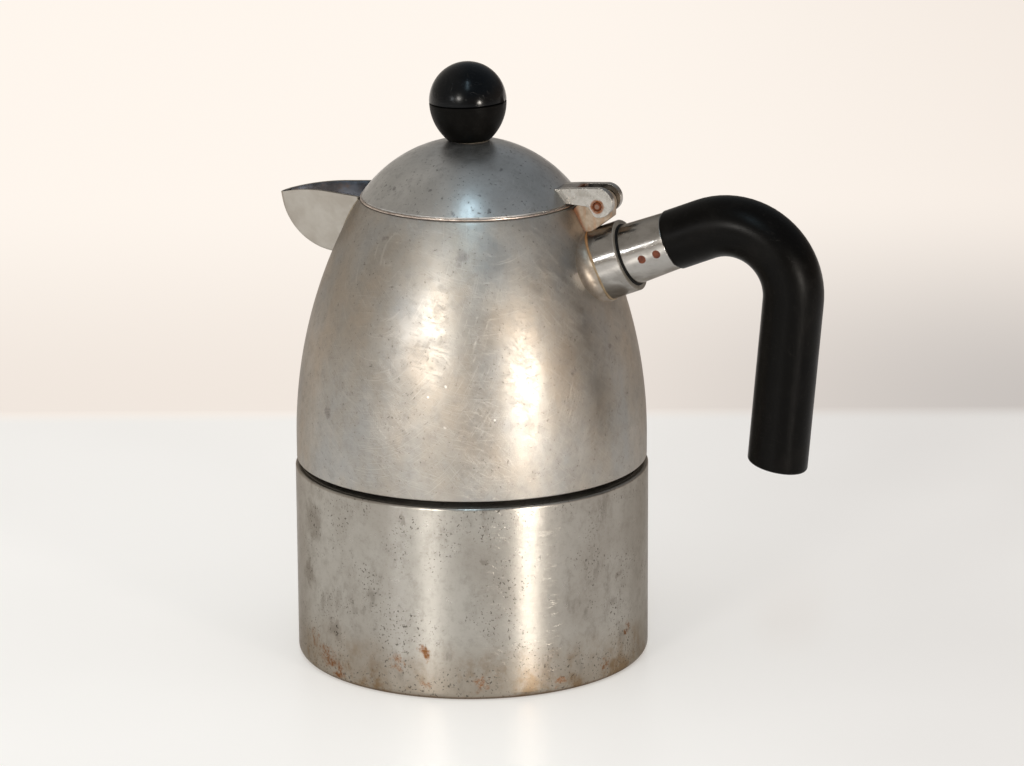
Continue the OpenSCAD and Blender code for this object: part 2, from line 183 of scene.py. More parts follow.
def solve(gap, inner, outer):
    """Value between inner, where gap is negative, and outer, where it is positive, at which it is zero."""
    for _ in range(40):
        middle = (inner + outer) / 2
        if gap(middle) < 0:
            inner = middle
        else:
            outer = middle
    return (inner + outer) / 2


# ---------- outlines ----------

def spaced(start, end, steps):
    """Values from start to end in even steps."""
    return [start + (end - start) * k / steps for k in range(steps + 1)]


def arc(x, y, radius, start, end, steps):
    """Points of an arc about (x, y) from start to end, in degrees."""
    turns = [math.radians(t) for t in spaced(start, end, steps)]
    return [(x + radius * math.cos(t), y + radius * math.sin(t)) for t in turns]


def rounded(corners, closed=False):
    """Outline through (x, y) or (x, y, radius) corners, those with a radius turned into arcs."""
    points = []
    for i, (x, y, *radius) in enumerate(corners):
        if not radius or (not closed and i in (0, len(corners) - 1)):
            points.append((x, y))
            continue
        here = Vector((x, y))
        back = (Vector(corners[i - 1][:2]) - here).normalized()
        ahead = (Vector(corners[(i + 1) % len(corners)][:2]) - here).normalized()
        half = back.angle(ahead) / 2
        centre = here + (back + ahead).normalized() * (radius[0] / math.sin(half))
        reach = radius[0] / math.tan(half)
        first, last = here + back * reach - centre, here + ahead * reach - centre
        start = math.atan2(first.y, first.x)
        turn = (math.atan2(last.y, last.x) - start + math.pi) % (2 * math.pi) - math.pi
        steps = max(3, math.ceil(abs(turn) / math.radians(12)))
        points += arc(*centre, radius[0], math.degrees(start), math.degrees(start + turn), steps)
    return points


def divided(points, step):
    """The same line with no stretch longer than step."""
    line = [points[0]]
    for a, b in zip(points, points[1:]):
        count = max(1, math.ceil(math.dist(a, b) / step))
        line += [(a[0] + (b[0] - a[0]) * k / count, a[1] + (b[1] - a[1]) * k / count)
                 for k in range(1, count + 1)]
    return line


# ---------- solids ----------

def upright(r, s, turn):
    """Place on the pot's own axis: r from it, s up it."""
    return Vector((r * math.cos(turn), r * math.sin(turn), s))


ALONG = Vector((math.cos(HANDLE_TILT), 0, math.sin(HANDLE_TILT)))
UNDER = Vector((math.sin(HANDLE_TILT), 0, -math.cos(HANDLE_TILT)))


def on_handle(r, s, turn):
    """Place on the handle's centre line: s along it from the collar's open end, r out from it."""
    bend = min(max((s - BEND_START) / BEND_R, 0), BEND_TURN)
    ahead = ALONG * math.cos(bend) + UNDER * math.sin(bend)
    out = ALONG * math.sin(bend) - UNDER * math.cos(bend)
    centre = HANDLE_START + ALONG * BEND_START + UNDER * BEND_R + out * BEND_R
    past = s - BEND_START - bend * BEND_R
    return centre + ahead * past + r * (out * math.cos(turn) + Vector((0, math.sin(turn), 0)))


def on_hinge(r, s, turn):
    """Place on the hinge pin's axis, s along +Y."""
    return HINGE + Vector((r * math.cos(turn), s, r * math.sin(turn)))


def on_valve(r, s, turn):
    """Place on the safety valve's axis, s outwards from the boiler's wall."""
    return Vector((r * math.cos(turn), BOILER_R + s, VALVE_Z + r * math.sin(turn)))


def lathe(outline, place=upright, steps=160):
    """Solid of revolution: outline is a closed loop of (r, s), or a line whose ends lie on the axis."""
    mesh = bmesh.new()
    rings = []
    for r, s in outline:
        count = steps if r > 0 else 1
        rings.append([mesh.verts.new(place(r, s, 2 * math.pi * k / steps)) for k in range(count)])
    bands = list(zip(rings, rings[1:]))
    if outline[0][0] > 0:
        bands.append((rings[-1], rings[0]))
    for a, b in bands:
        for k in range(steps):
            n = (k + 1) % steps
            corners = [a[k % len(a)], a[n % len(a)], b[n % len(b)], b[k % len(b)]]
            mesh.faces.new(list(dict.fromkeys(corners)))
    return mesh


def bar(radius, near, far, place, steps):
    """Plain cylinder about the axis of a place function."""
    return lathe([(0, near), (radius, near), (radius, far), (0, far)], place, steps)


def loft(rings, looped=False):
    """Skin over rings of points with the same count, closed with a face at each end, or into a loop."""
    mesh = bmesh.new()
    loops = [[mesh.verts.new(p) for p in ring] for ring in rings]
    bands = list(zip(loops, loops[1:]))
    if looped:
        bands.append((loops[-1], loops[0]))
    else:
        mesh.faces.new(loops[0])
        mesh.faces.new(loops[-1][::-1])
    for a, b in bands:
        for k in range(len(a)):
            n = (k + 1) % len(a)
            mesh.faces.new([a[k], a[n], b[n], b[k]])
    return mesh


def tube(path, radius, side, looped=False, sides=10):
    """Round wire along a path. radius is a function of the place from 0 to 1; side lies across the path."""
    count = len(path)
    rings = []
    for i, point in enumerate(path):
        before = path[i - 1] if looped or i > 0 else point
        after = path[(i + 1) % count] if looped or i < count - 1 else point
        ahead = (after - before).normalized()
        out = (side - ahead * side.dot(ahead)).normalized()
        up = ahead.cross(out)
        r = radius(i / (count - 1))
        turns = [2 * math.pi * k / sides for k in range(sides)]
        rings.append([point + r * (out * math.cos(t) + up * math.sin(t)) for t in turns])
    return loft(rings, looped)


def plate(outline, width):
    """Outline in the XZ plane, made width thick along Y."""
    return loft([[Vector((x, y, z)) for x, z in outline] for y in (-width / 2, width / 2)])


def as_object(mesh, name):
    data = bpy.data.meshes.new(name)
    mesh.to_mesh(data)
    mesh.free()
    made = bpy.data.objects.new(name, data)
    bpy.context.scene.collection.objects.link(made)
    return made


def combined(operation, mesh, *others):
    """The mesh with the others taken out of it, added to it or kept as its limits."""
    made = [as_object(m, "working") for m in (mesh, *others)]
    for m in made:
        outwards = bmesh.new()
        outwards.from_mesh(m.data)
        bmesh.ops.recalc_face_normals(outwards, faces=outwards.faces)
        outwards.to_mesh(m.data)
        outwards.free()
    for other in made[1:]:
        step = made[0].modifiers.new("step", "BOOLEAN")
        step.operation = operation
        step.solver = "EXACT"
        step.object = other
    bpy.context.view_layer.update()
    result = bmesh.new()
    result.from_object(made[0], bpy.context.evaluated_depsgraph_get())
    for m in made:
        bpy.data.objects.remove(m)
    bmesh.ops.remove_doubles(result, verts=result.verts, dist=0.001)
    bmesh.ops.dissolve_degenerate(result, edges=result.edges, dist=0.001)
    return result


def softened(mesh, width, angle=50, steps=3):
    """The mesh with every edge sharper than angle rounded."""
    bmesh.ops.recalc_face_normals(mesh, faces=mesh.faces)
    sharp = [e for e in mesh.edges
             if len(e.link_faces) == 2 and math.degrees(e.calc_face_angle(0)) > angle]
    bmesh.ops.bevel(mesh, geom=sharp, offset=width, segments=steps, profile=0.5, affect="EDGES",
                    clamp_overlap=True)
    return mesh


def warped(mesh, shift):
    """The mesh with each point moved by shift(point)."""
    for v in mesh.verts:
        v.co += shift(v.co)
    return mesh


def piece(name, mesh, on, slot=None, stands=True, look=None, flat=False):
    """A finished piece: it rides with CAD node on, has its slot, and stands for it or adds to it."""
    slot = slot or SLOT_OF[on]
    nodes = [on] if stands else []
    bmesh.ops.recalc_face_normals(mesh, faces=mesh.faces)
    mesh.transform(Matrix.Scale(MM, 4))
    made = as_object(mesh, name)
    made.data.polygons.foreach_set("use_smooth", [True] * len(made.data.polygons))
    made.data.set_sharp_from_angle(angle=math.radians(35))
    made.data.materials.append(look or LOOKS[slot])
    if flat:
        made.modifiers.new("flat_faces", "WEIGHTED_NORMAL").keep_sharp = True
    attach(made, BODY_OF[on])
    if nodes:
        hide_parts(*nodes)
    return made


# ---------- materials ----------

class Graph:
    """Node tree under construction."""

    def __init__(self, tree):
        self.tree = tree

    def node(self, kind, inputs, **settings):
        made = self.tree.nodes.new("ShaderNode" + kind)
        for key, value in settings.items():
            setattr(made, key, value)
        for key, value in inputs.items():
            if isinstance(value, bpy.types.NodeSocket):
                self.tree.links.new(value, made.inputs[key])
            else:
                made.inputs[key].default_value = value
        return made

    def levels(self, value, start, end, least=0.0, most=1.0):
        """least below start, most above end, and a smooth rise between; start may lie above end."""
        return self.node("MapRange", {"Value": value, "From Min": start, "From Max": end, "To Min": least,
                                      "To Max": most}, interpolation_type="SMOOTHSTEP").outputs[0]

    def math(self, operation, a, b=0.0):
        return self.node("Math", {0: a, 1: b}, operation=operation).outputs[0]

    def plus(self, a, b):
        return self.math("ADD", a, b)

    def times(self, a, b):
        return self.math("MULTIPLY", a, b)

    def most(self, a, b):
        return self.math("MAXIMUM", a, b)

    def in_mm(self, length):
        return self.math("DIVIDE", length, MM)

    def vector(self, operation, a, b):
        return self.node("VectorMath", {0: a, 1: b}, operation=operation).outputs[0]

    def measure(self, operation, a, b=(0, 0, 0)):
        """A length or a product of two vectors."""
        return self.node("VectorMath", {0: a, 1: b}, operation=operation).outputs["Value"]

    def mix(self, factor, a, b):
        """Colour b over colour a."""
        a, b = (c if isinstance(c, bpy.types.NodeSocket) else (*c, 1) for c in (a, b))
        return self.node("Mix", {0: factor, 6: a, 7: b}, data_type="RGBA").outputs[2]


class Paint(Graph):
    """One material under construction: masks on the row frame's own coordinates, one Principled shader."""

    def __init__(self, name, **sockets):
        self.material = bpy.data.materials.new(name)
        self.material.use_nodes = True
        super().__init__(self.material.node_tree)
        self.shader = self.tree.nodes["Principled BSDF"]
        self.place = self.tree.nodes.new("ShaderNodeTexCoord").outputs["Object"]
        for socket, value in sockets.items():
            self.shader.inputs[socket.replace("_", " ")].default_value = value

    def link(self, value, socket):
        self.tree.links.new(value, self.shader.inputs[socket])

    def noise(self, size, drawn=(1, 1, 1), turn=(0, 0, 0), detail=3.0, rough=0.5, shift=0.0):
        """Noise from 0 to 1 with grains about size millimetres across, drawn out along its own axes."""
        spread = self.node("Mapping", {
            "Vector": self.place, "Location": (shift, shift, shift),
            "Rotation": [math.radians(t) for t in turn],
            "Scale": [size * MM * d for d in drawn]}, vector_type="TEXTURE")
        return self.node("TexNoise", {"Vector": spread.outputs[0], "Scale": 1.0, "Detail": detail,
                                      "Roughness": rough}).outputs[0]

    def height(self):
        """Height above the table, in millimetres."""
        return self.in_mm(self.node("SeparateXYZ", {0: self.place}).outputs[2])

    def from_hinge(self):
        """Distance from the hinge pin's axis, in millimetres."""
        flat = self.vector("MULTIPLY", self.place, (1, 0, 1))
        return self.in_mm(self.measure("DISTANCE", flat, Vector((HINGE.x, 0, HINGE.z)) * MM))

    def scratches(self, length, width, share, turns, shift=0.0):
        """Thin straight marks in several directions; share is how much of the surface they cover."""
        total = None
        for k, turn in enumerate(turns):
            lines = self.noise(length, (1, 1, width / length), turn, 2.0, 0.5, shift + 0.37 * k)
            mask = self.levels(lines, 0.74 - share, 0.78 - share)
            total = mask if total is None else self.most(total, mask)
        return total

    def marks(self, places, ragged):
        """Ragged spots at (turn, radius, height, size) places; see around()."""
        return self.spots([(around(*place), size) for *place, size in places], ragged)

    def spots(self, places, ragged):
        """Ragged spots at (point, size) places, in millimetres."""
        torn = self.node("TexNoise", {"Vector": self.place, "Scale": 1 / (2.5 * MM), "Detail": 4.0})
        shift = self.vector("SUBTRACT", torn.outputs[1], (0.5, 0.5, 0.5))
        shift = self.node("VectorMath", {0: shift, "Scale": 2 * ragged * MM}, operation="SCALE").outputs[0]
        moved = self.vector("ADD", self.place, shift)
        total = None
        for point, size in places:
            mask = self.levels(self.measure("DISTANCE", moved, point * MM), size * MM, 0.4 * size * MM)
            total = mask if total is None else self.most(total, mask)
        return total

    def turned(self, amount):
        """Stretches highlights across the turning marks of a piece made on a lathe about the pot's axis."""
        self.shader.inputs["Anisotropic"].default_value = amount
        self.shader.inputs["Anisotropic Rotation"].default_value = 0.25
        self.link(self.node("Tangent", {}, direction_type="RADIAL", axis="Z").outputs[0], "Tangent")

    def base(self, value, start, end, a, b):
        """First colour: a where value is low, b where it is high."""
        self.colour = self.mix(self.levels(value, start, end), a, b)

    def coat(self, mask, tint, amount=None):
        """Lays a tint over the colour."""
        self.colour = self.mix(mask if amount is None else self.times(mask, amount), self.colour, tint)

    def done(self, roughness, *bumps):
        """The material with its colour, roughness and (height, depth in millimetres) bumps linked."""
        self.link(self.colour, "Base Color")
        self.link(roughness, "Roughness")
        normal = None
        for relief, depth in bumps:
            made = self.node("Bump", {"Height": relief, "Distance": depth * MM})
            if normal is not None:
                self.tree.links.new(normal, made.inputs["Normal"])
            normal = made.outputs[0]
        if normal is not None:
            self.link(normal, "Normal")
        return self.material


RUST = (0.20, 0.065, 0.018)
EDGE = (0.55, 0.52, 0.49, 1)    # worn metal stays grey where it turns away


def grained(name, size, tones, roughness, depth, drawn=(1, 1, 1), detail=5.0, fineness=0.7,
            spread=(0.35, 0.7), matt_at=0.7, **sockets):
    """Material with one grain, which varies its tone, its roughness and its relief together."""
    p = Paint(name, **sockets)
    grain = p.noise(size, drawn, detail=detail, rough=fineness)
    p.base(grain, *spread, *tones)
    return p.done(p.levels(grain, 0.3, matt_at, *roughness), (grain, depth))


def body_alloy():
    """Collector: turned and polished aluminium, dulled and scratched by use."""
    p = Paint("body_alloy", Metallic=1.0, Specular_Tint=EDGE)
    p.turned(0.12)
    cloud = p.noise(24, detail=4.0)
    tint = p.noise(15, (1, 1, 1.6), detail=4.0, rough=0.6, shift=0.31)
    mottle = p.noise(3.5, detail=7.0, rough=0.75)
    lines = p.noise(18, (1, 1, 0.015), detail=3.0, rough=0.6)
    upright_lines = p.noise(0.5, (1, 1, 30), detail=2.0, rough=0.5)
    diagonal = [(35, 20, 0), (-40, 10, 0), (60, -30, 0), (-15, 50, 0)]
    scratch = p.scratches(10, 0.11, 0.10, diagonal)
    faint = p.scratches(5, 0.08, 0.09, [(75, 10, 0), (-70, 35, 0), (10, 80, 0)], 0.77)
    specks = p.levels(p.noise(0.8, detail=2.0), 0.64, 0.72)
    worn = p.levels(p.noise(9, detail=3.0, shift=0.53), 0.45, 0.62)
    smudge = p.marks([(-42, 34, 125, 1.3), (-3, 35.8, 122.3, 2.6), (-33, 44, 101, 1.2),
                      (-54, 49, 76.7, 2.0), (57, 45.9, 94.6, 1.4), (38, 46.8, 90.3, 1.3),
                      (130, 44, 100, 2.5), (-140, 46, 90, 2.2)], 2.2)
    nicks = p.marks([(-8, 46.9, 89, 0.5), (-14, 47.5, 86, 0.45), (-8, 49, 78, 0.6),
                     (8, 48.4, 80, 0.4), (-5, 48.6, 82.5, 0.4)], 0.5)
    p.base(cloud, 0.35, 0.65, (0.38, 0.355, 0.32), (0.46, 0.435, 0.40))
    p.coat(p.levels(tint, 0.45, 0.68, 0.0, 0.8), (0.43, 0.375, 0.315))
    p.coat(p.levels(tint, 0.50, 0.30, 0.0, 0.7), (0.38, 0.385, 0.385))
    p.coat(p.levels(mottle, 0.45, 0.72, 0.0, 0.55), (0.30, 0.28, 0.255))
    p.coat(specks, (0.13, 0.115, 0.10), p.levels(mottle, 0.35, 0.65, 0.1, 0.75))
    p.coat(smudge, (0.19, 0.17, 0.16), 0.5)
    p.coat(faint, (0.25, 0.23, 0.20), 0.30)
    p.coat(scratch, (0.70, 0.67, 0.62), 0.22)
    p.coat(nicks, (0.85, 0.82, 0.78), 0.7)
    rough = p.levels(mottle, 0.3, 0.75, 0.35, 0.46)
    rough = p.plus(rough, p.times(p.times(lines, worn), 0.10))
    return p.done(rough, (lines, 0.007), (upright_lines, 0.005), (scratch, 0.008), (mottle, 0.012))


def boiler_steel():
    """Boiler: warm grey, with turning lines, dark specks, water stains and rust near the bottom."""
    p = Paint("boiler_steel", Metallic=1.0, Specular_Tint=EDGE)
    p.turned(0.7)
    cloud = p.noise(20, (1, 1, 1.5), detail=4.0)
    mottle = p.noise(3, detail=7.0, rough=0.75)
    lines = p.noise(20, (1, 1, 0.012), detail=3.0, rough=0.6)
    scratch = p.scratches(8, 0.10, 0.06, [(0, 0, 0), (25, 15, 0), (-50, 10, 0)], 0.2)
    height = p.plus(p.height(), p.times(p.noise(9, detail=4.0, shift=0.7), 14))
    stained = p.levels(height, 27, 8)
    brown = p.noise(7, (1, 1, 1.3), detail=6.0, rough=0.68, shift=0.9)
    brown = p.times(p.levels(brown, 0.46, 0.64), p.levels(height, 23, 9))
    grime = p.times(p.levels(p.noise(6, (1, 1, 1.8), detail=6.0, rough=0.7, shift=0.2), 0.50, 0.68),
                   p.levels(p.noise(30, detail=2.0, shift=0.6), 0.42, 0.60, 0.25, 1.0))
    specks = p.levels(p.noise(0.7, detail=2.0), 0.60, 0.69)
    grouped = p.noise(13, detail=3.0, shift=0.11)
    pitted = p.levels(p.plus(grouped, p.times(stained, 0.16)), 0.46, 0.60)
    rust = p.marks([(turn, BOILER_R, z, size) for turn, z, size in (
        (-15, 13.7, 2.6), (-24, 9.9, 2.6), (-15, 3.8, 2.2), (3, 4.9, 2.6), (-54, 6.4, 4.2), (-62, 9, 3.6),
        (-48, 3.2, 3.0), (47, 5.2, 2.6), (60, 12.5, 2.4), (30, 3.5, 2.0), (120, 7, 3.0), (165, 11, 2.6),
        (-110, 8, 3.2), (-150, 15, 2.4))], 3.5)
    dark = p.marks([(turn, BOILER_R, z, size) for turn, z, size in (
        (-62, 44, 7), (-66, 28, 5), (-22, 51.7, 2.0), (4, 39.9, 1.6), (55, 30.3, 1.8), (-50, 15, 4),
        (140, 36, 5), (-125, 25, 5))], 4.0)
    p.base(cloud, 0.35, 0.65, (0.37, 0.345, 0.31), (0.44, 0.42, 0.385))
    p.coat(p.levels(mottle, 0.45, 0.72, 0.0, 0.55), (0.29, 0.27, 0.24))
    p.coat(stained, (0.27, 0.215, 0.155), 0.55)
    p.coat(grime, (0.19, 0.17, 0.145), 0.55)
    p.coat(brown, (0.20, 0.125, 0.06), 0.75)
    p.coat(dark, (0.17, 0.145, 0.12), 0.45)
    spots = p.most(p.times(pitted, 0.75), dark)
    p.coat(specks, (0.06, 0.05, 0.04), p.most(spots, 0.08))
    rusty = p.times(rust, p.levels(mottle, 0.42, 0.62, 0.0, 0.9))
    p.coat(rusty, (0.27, 0.105, 0.025))
    p.coat(p.levels(p.height(), 1.4, 0.6, 0.0, 0.6), (0.13, 0.075, 0.04))
    rough = p.levels(mottle, 0.3, 0.8, 0.27, 0.37)
    rough = p.plus(rough, p.times(rusty, 0.35))
    return p.done(rough, (lines, 0.006), (scratch, 0.006), (mottle, 0.008), (rusty, -0.03))


def lid_alloy():
    """Lid: satin aluminium, cooler than the body, with small pits and fine scratches."""
    p = Paint("lid_alloy", Metallic=1.0)
    p.turned(0.35)
    cloud = p.noise(16, detail=4.0)
    mottle = p.noise(3, detail=7.0, rough=0.75)
    lines = p.noise(14, (1, 1, 0.02), detail=3.0, rough=0.6)
    scratch = p.scratches(6, 0.09, 0.07, [(30, 15, 0), (-35, 20, 0), (10, -50, 0)], 0.5)
    pits = p.levels(p.noise(0.75, detail=2.0), 0.64, 0.72)
    grouped = p.levels(p.noise(8, detail=3.0, shift=0.4), 0.42, 0.62, 0.15, 0.9)
    marks = p.marks([(27, DOME_R * 0.52, 142.7, 0.9), (-26, 25, 138.3, 0.8),
                     (-52, 26.2, 137.2, 0.9), (-9, 29.6, 133.4, 0.9),
                     (11, 29, 133.7, 0.8), (6, 26.1, 137.3, 0.7)], 1.6)
    p.base(cloud, 0.35, 0.65, (0.45, 0.45, 0.44), (0.56, 0.56, 0.55))
    p.coat(p.levels(mottle, 0.45, 0.72, 0.0, 0.6), (0.31, 0.305, 0.30))
    p.coat(pits, (0.10, 0.095, 0.09), grouped)
    p.coat(marks, (0.12, 0.11, 0.11), 0.55)
    p.coat(scratch, (0.74, 0.73, 0.71), 0.28)
    rough = p.levels(mottle, 0.3, 0.75, 0.30, 0.42)
    return p.done(rough, (lines, 0.005), (scratch, 0.006), (pits, -0.015), (mottle, 0.010))


def rim_alloy():
    """The lid's proud rim: worn bright on its edge, with a warm film in the hollows."""
    p = Paint("rim_alloy", Metallic=1.0)
    mottle = p.noise(2.5, detail=5.0, rough=0.7)
    dents = p.noise(3.5, (1, 1, 2), detail=3.0)
    p.base(mottle, 0.4, 0.7, (0.60, 0.52, 0.46), (0.36, 0.29, 0.25))
    return p.done(p.levels(mottle, 0.3, 0.7, 0.26, 0.42), (dents, 0.12), (mottle, 0.02))


def fork_alloy():
    """Lid fork: cast and filed, with rust around the pin's holes and in the slot; painted shade darkens the
    faces inside the slot.
    """
    p = Paint("fork_alloy", Metallic=1.0)
    mottle = p.noise(2.2, detail=5.0, rough=0.65)
    file_marks = p.noise(7, (1, 1, 0.03), (0, 8, 0), 3.0, 0.6)
    torn = p.plus(p.from_hinge(), p.times(p.noise(1.2, detail=4.0), 0.9))
    ring = p.levels(torn, 2.75, 2.05)
    inner = p.spots([(Vector((HINGE.x - 5.8, y, HINGE.z + 4.6)), 1.5) for y in (-1.4, 0.2, 1.6)], 1.0)
    rust = p.most(ring, p.times(inner, 0.9))
    p.base(mottle, 0.4, 0.7, (0.41, 0.395, 0.37), (0.30, 0.285, 0.26))
    # Painted shade: the faces that stand inside the slot, beside the lug, are darkened.
    aside = p.math("ABSOLUTE", p.node("SeparateXYZ", {0: p.place}).outputs[1])
    between = p.levels(aside, LUG_W / 2 * MM + 0.0006, LUG_W / 2 * MM)
    p.coat(between, (0.07, 0.055, 0.045), 0.75)
    p.coat(rust, RUST, p.levels(mottle, 0.3, 0.6, 0.6, 1.0))
    rough = p.plus(p.levels(mottle, 0.3, 0.8, 0.20, 0.34), p.times(rust, 0.3))
    return p.done(rough, (file_marks, 0.01), (mottle, 0.015), (rust, -0.03))


def lug_alloy():
    """Hinge lug: dull tan metal with rust running down it from the pin."""
    p = Paint("lug_alloy", Metallic=0.7)
    mottle = p.noise(2.0, detail=5.0, rough=0.7)
    runs = p.levels(p.noise(3.2, (0.35, 0.35, 1.8), detail=4.0, rough=0.6), 0.48, 0.62)
    p.base(mottle, 0.35, 0.7, (0.40, 0.33, 0.26), (0.31, 0.245, 0.18))
    p.coat(runs, (0.36, 0.17, 0.07), 0.35)
    radius = p.in_mm(p.measure("LENGTH", p.vector("MULTIPLY", p.place, (1, 1, 0))))
    face = p.math("SUBTRACT", 31.4, p.times(p.math("SUBTRACT", p.height(), BODY_TOP), 0.42))
    edge = p.levels(p.plus(p.math("SUBTRACT", radius, face), p.times(mottle, 1.4)), 2.3, 0.9)
    p.coat(edge, (0.20, 0.065, 0.018), 0.85)
    return p.done(p.levels(mottle, 0.3, 0.7, 0.38, 0.6), (mottle, 0.03), (runs, 0.02))


def hinge_steel():
    """Hinge pin: grey end face inside a ring of rust."""
    p = Paint("hinge_steel", Metallic=0.85)
    grain = p.noise(1.0, detail=5.0, rough=0.7)
    torn = p.plus(p.from_hinge(), p.times(grain, 0.5))
    p.base(torn, 0.75, 1.05, (0.20, 0.13, 0.10), (0.12, 0.035, 0.014))
    return p.done(p.levels(grain, 0.3, 0.7, 0.35, 0.6), (grain, 0.05))


def polished_steel():
    """Collar and ferrule: polished, with fine scratches, smears and a brown film near the joints."""
    p = Paint("polished_steel", Metallic=1.0, Specular_Tint=EDGE)
    smear = p.noise(7, (1, 1, 0.5), detail=4.0, rough=0.6)
    fine = p.scratches(6, 0.10, 0.06, [(20, 60, 0), (-30, 20, 0), (70, 0, 30)], 0.7)
    p.base(smear, 0.4, 0.65, (0.37, 0.355, 0.335), (0.28, 0.265, 0.245))
    along = p.measure("DOT_PRODUCT", p.vector("SUBTRACT", p.place, HANDLE_START * MM), ALONG)
    end_face = p.levels(p.math("ABSOLUTE", p.in_mm(along)), 0.32, 0.12)
    film = p.times(end_face, p.levels(smear, 0.3, 0.6, 0.6, 1.0))
    p.coat(film, (0.13, 0.115, 0.095))
    p.link(p.levels(film, 0.0, 1.0, 1.0, 0.25), "Metallic")
    rough = p.plus(p.levels(smear, 0.35, 0.7, 0.13, 0.24), p.times(fine, 0.08))
    rough = p.plus(rough, p.times(film, 0.3))
    return p.done(rough, (fine, 0.004), (smear, 0.02))


def seam_residue():
    """Old solder and limescale along the collar's foot: yellowish, browner near the hinge."""
    p = Paint("seam_residue", Metallic=0.25)
    grain = p.noise(1.5, detail=5.0, rough=0.7)
    p.base(grain, 0.35, 0.7, (0.17, 0.115, 0.06), (0.26, 0.20, 0.12))
    p.coat(p.levels(p.height(), 116, 127), (0.26, 0.11, 0.03))
    return p.done(p.levels(grain, 0.3, 0.7, 0.4, 0.65), (grain, 0.08))


def dark_plastic(name, base, bright, gloss, roughness, grain_size, grain_depth):
    """Black moulded plastic with a fine grain, dust and hairline scratches."""
    p = Paint(name, Specular_IOR_Level=gloss)
    grain = p.noise(grain_size, detail=3.0, rough=0.6)
    dust = p.noise(9, detail=4.0, rough=0.6)
    hair = p.scratches(3.5, 0.06, 0.04, [(25, 30, 0), (-45, 15, 0), (80, 40, 20)], 0.9)
    p.base(dust, 0.45, 0.75, base, bright)
    p.coat(hair, (0.05, 0.045, 0.04), 0.18)
    rough = p.levels(dust, 0.3, 0.75, roughness, roughness + 0.14)
    return p.done(rough, (grain, grain_depth), (hair, -0.01))


def cream_seal():
    """Silicone gasket, yellowed by coffee at its edges."""
    p = Paint("cream_seal", Subsurface_Weight=0.1, Subsurface_Scale=0.002)
    tone = p.noise(9, detail=4.0)
    grain = p.noise(0.8, detail=3.0)
    p.base(tone, 0.4, 0.65, (0.72, 0.66, 0.56), (0.52, 0.41, 0.27))
    return p.done(p.levels(tone, 0.3, 0.7, 0.45, 0.6), (grain, 0.02))


def brass():
    """Safety valve: brass with a dull film and turning marks."""
    p = Paint("brass", Metallic=1.0)
    film = p.noise(3.5, detail=5.0, rough=0.65)
    lines = p.noise(5, (1, 0.04, 1), detail=2.0)
    p.base(film, 0.4, 0.7, (0.62, 0.44, 0.19), (0.36, 0.25, 0.12))
    return p.done(p.levels(film, 0.3, 0.75, 0.22, 0.42), (lines, 0.012), (film, 0.02))


def inner_alloy():
    """Funnel, sieves and column: matt aluminium with brown coffee stains."""
    p = Paint("inner_alloy", Metallic=0.95)
    tone = p.noise(11, detail=5.0, rough=0.6)
    mottle = p.noise(3, detail=5.0, rough=0.7)
    lines = p.noise(9, (1, 1, 0.03), detail=2.0)
    p.base(tone, 0.35, 0.65, (0.60, 0.585, 0.56), (0.50, 0.475, 0.44))
    p.coat(p.levels(p.plus(tone, p.times(mottle, 0.35)), 0.68, 0.85, 0.0, 0.75), (0.24, 0.155, 0.085))
    return p.done(p.levels(mottle, 0.3, 0.75, 0.34, 0.52), (lines, 0.008), (mottle, 0.02))


def spout_alloy():
    """Spout: satin outside; inside darkened with painted shade and old coffee, blue-grey or near black in
    patches, with brown coffee mottling.
    """
    p = Paint("spout_alloy", Metallic=1.0, Specular_Tint=EDGE)
    tone = p.noise(9, detail=5.0, rough=0.6)
    mottle = p.noise(2.5, detail=5.0, rough=0.7)
    p.base(tone, 0.35, 0.65, (0.42, 0.385, 0.34), (0.49, 0.46, 0.415))
    # Painted shade and old coffee: the inside of the channel is coloured dark blue-grey to near black.
    inside = p.mix(p.levels(tone, 0.38, 0.62), (0.085, 0.09, 0.105), (0.04, 0.038, 0.04))
    inside = p.mix(p.levels(mottle, 0.5, 0.75, 0.0, 0.6), inside, (0.11, 0.07, 0.05))
    middle = Vector((KEEL.x, 0, LIP_Z - 3))
    away = p.vector("SUBTRACT", p.place, middle * MM)
    facing = p.measure("DOT_PRODUCT", away, p.node("TexCoord", {}).outputs["Normal"])
    # Lays the painted shade and coffee colour on the faces that turn towards the spout's middle.
    p.coat(p.levels(facing, 0.0008, -0.0008), inside)
    return p.done(p.levels(mottle, 0.3, 0.75, 0.30, 0.46), (mottle, 0.015))


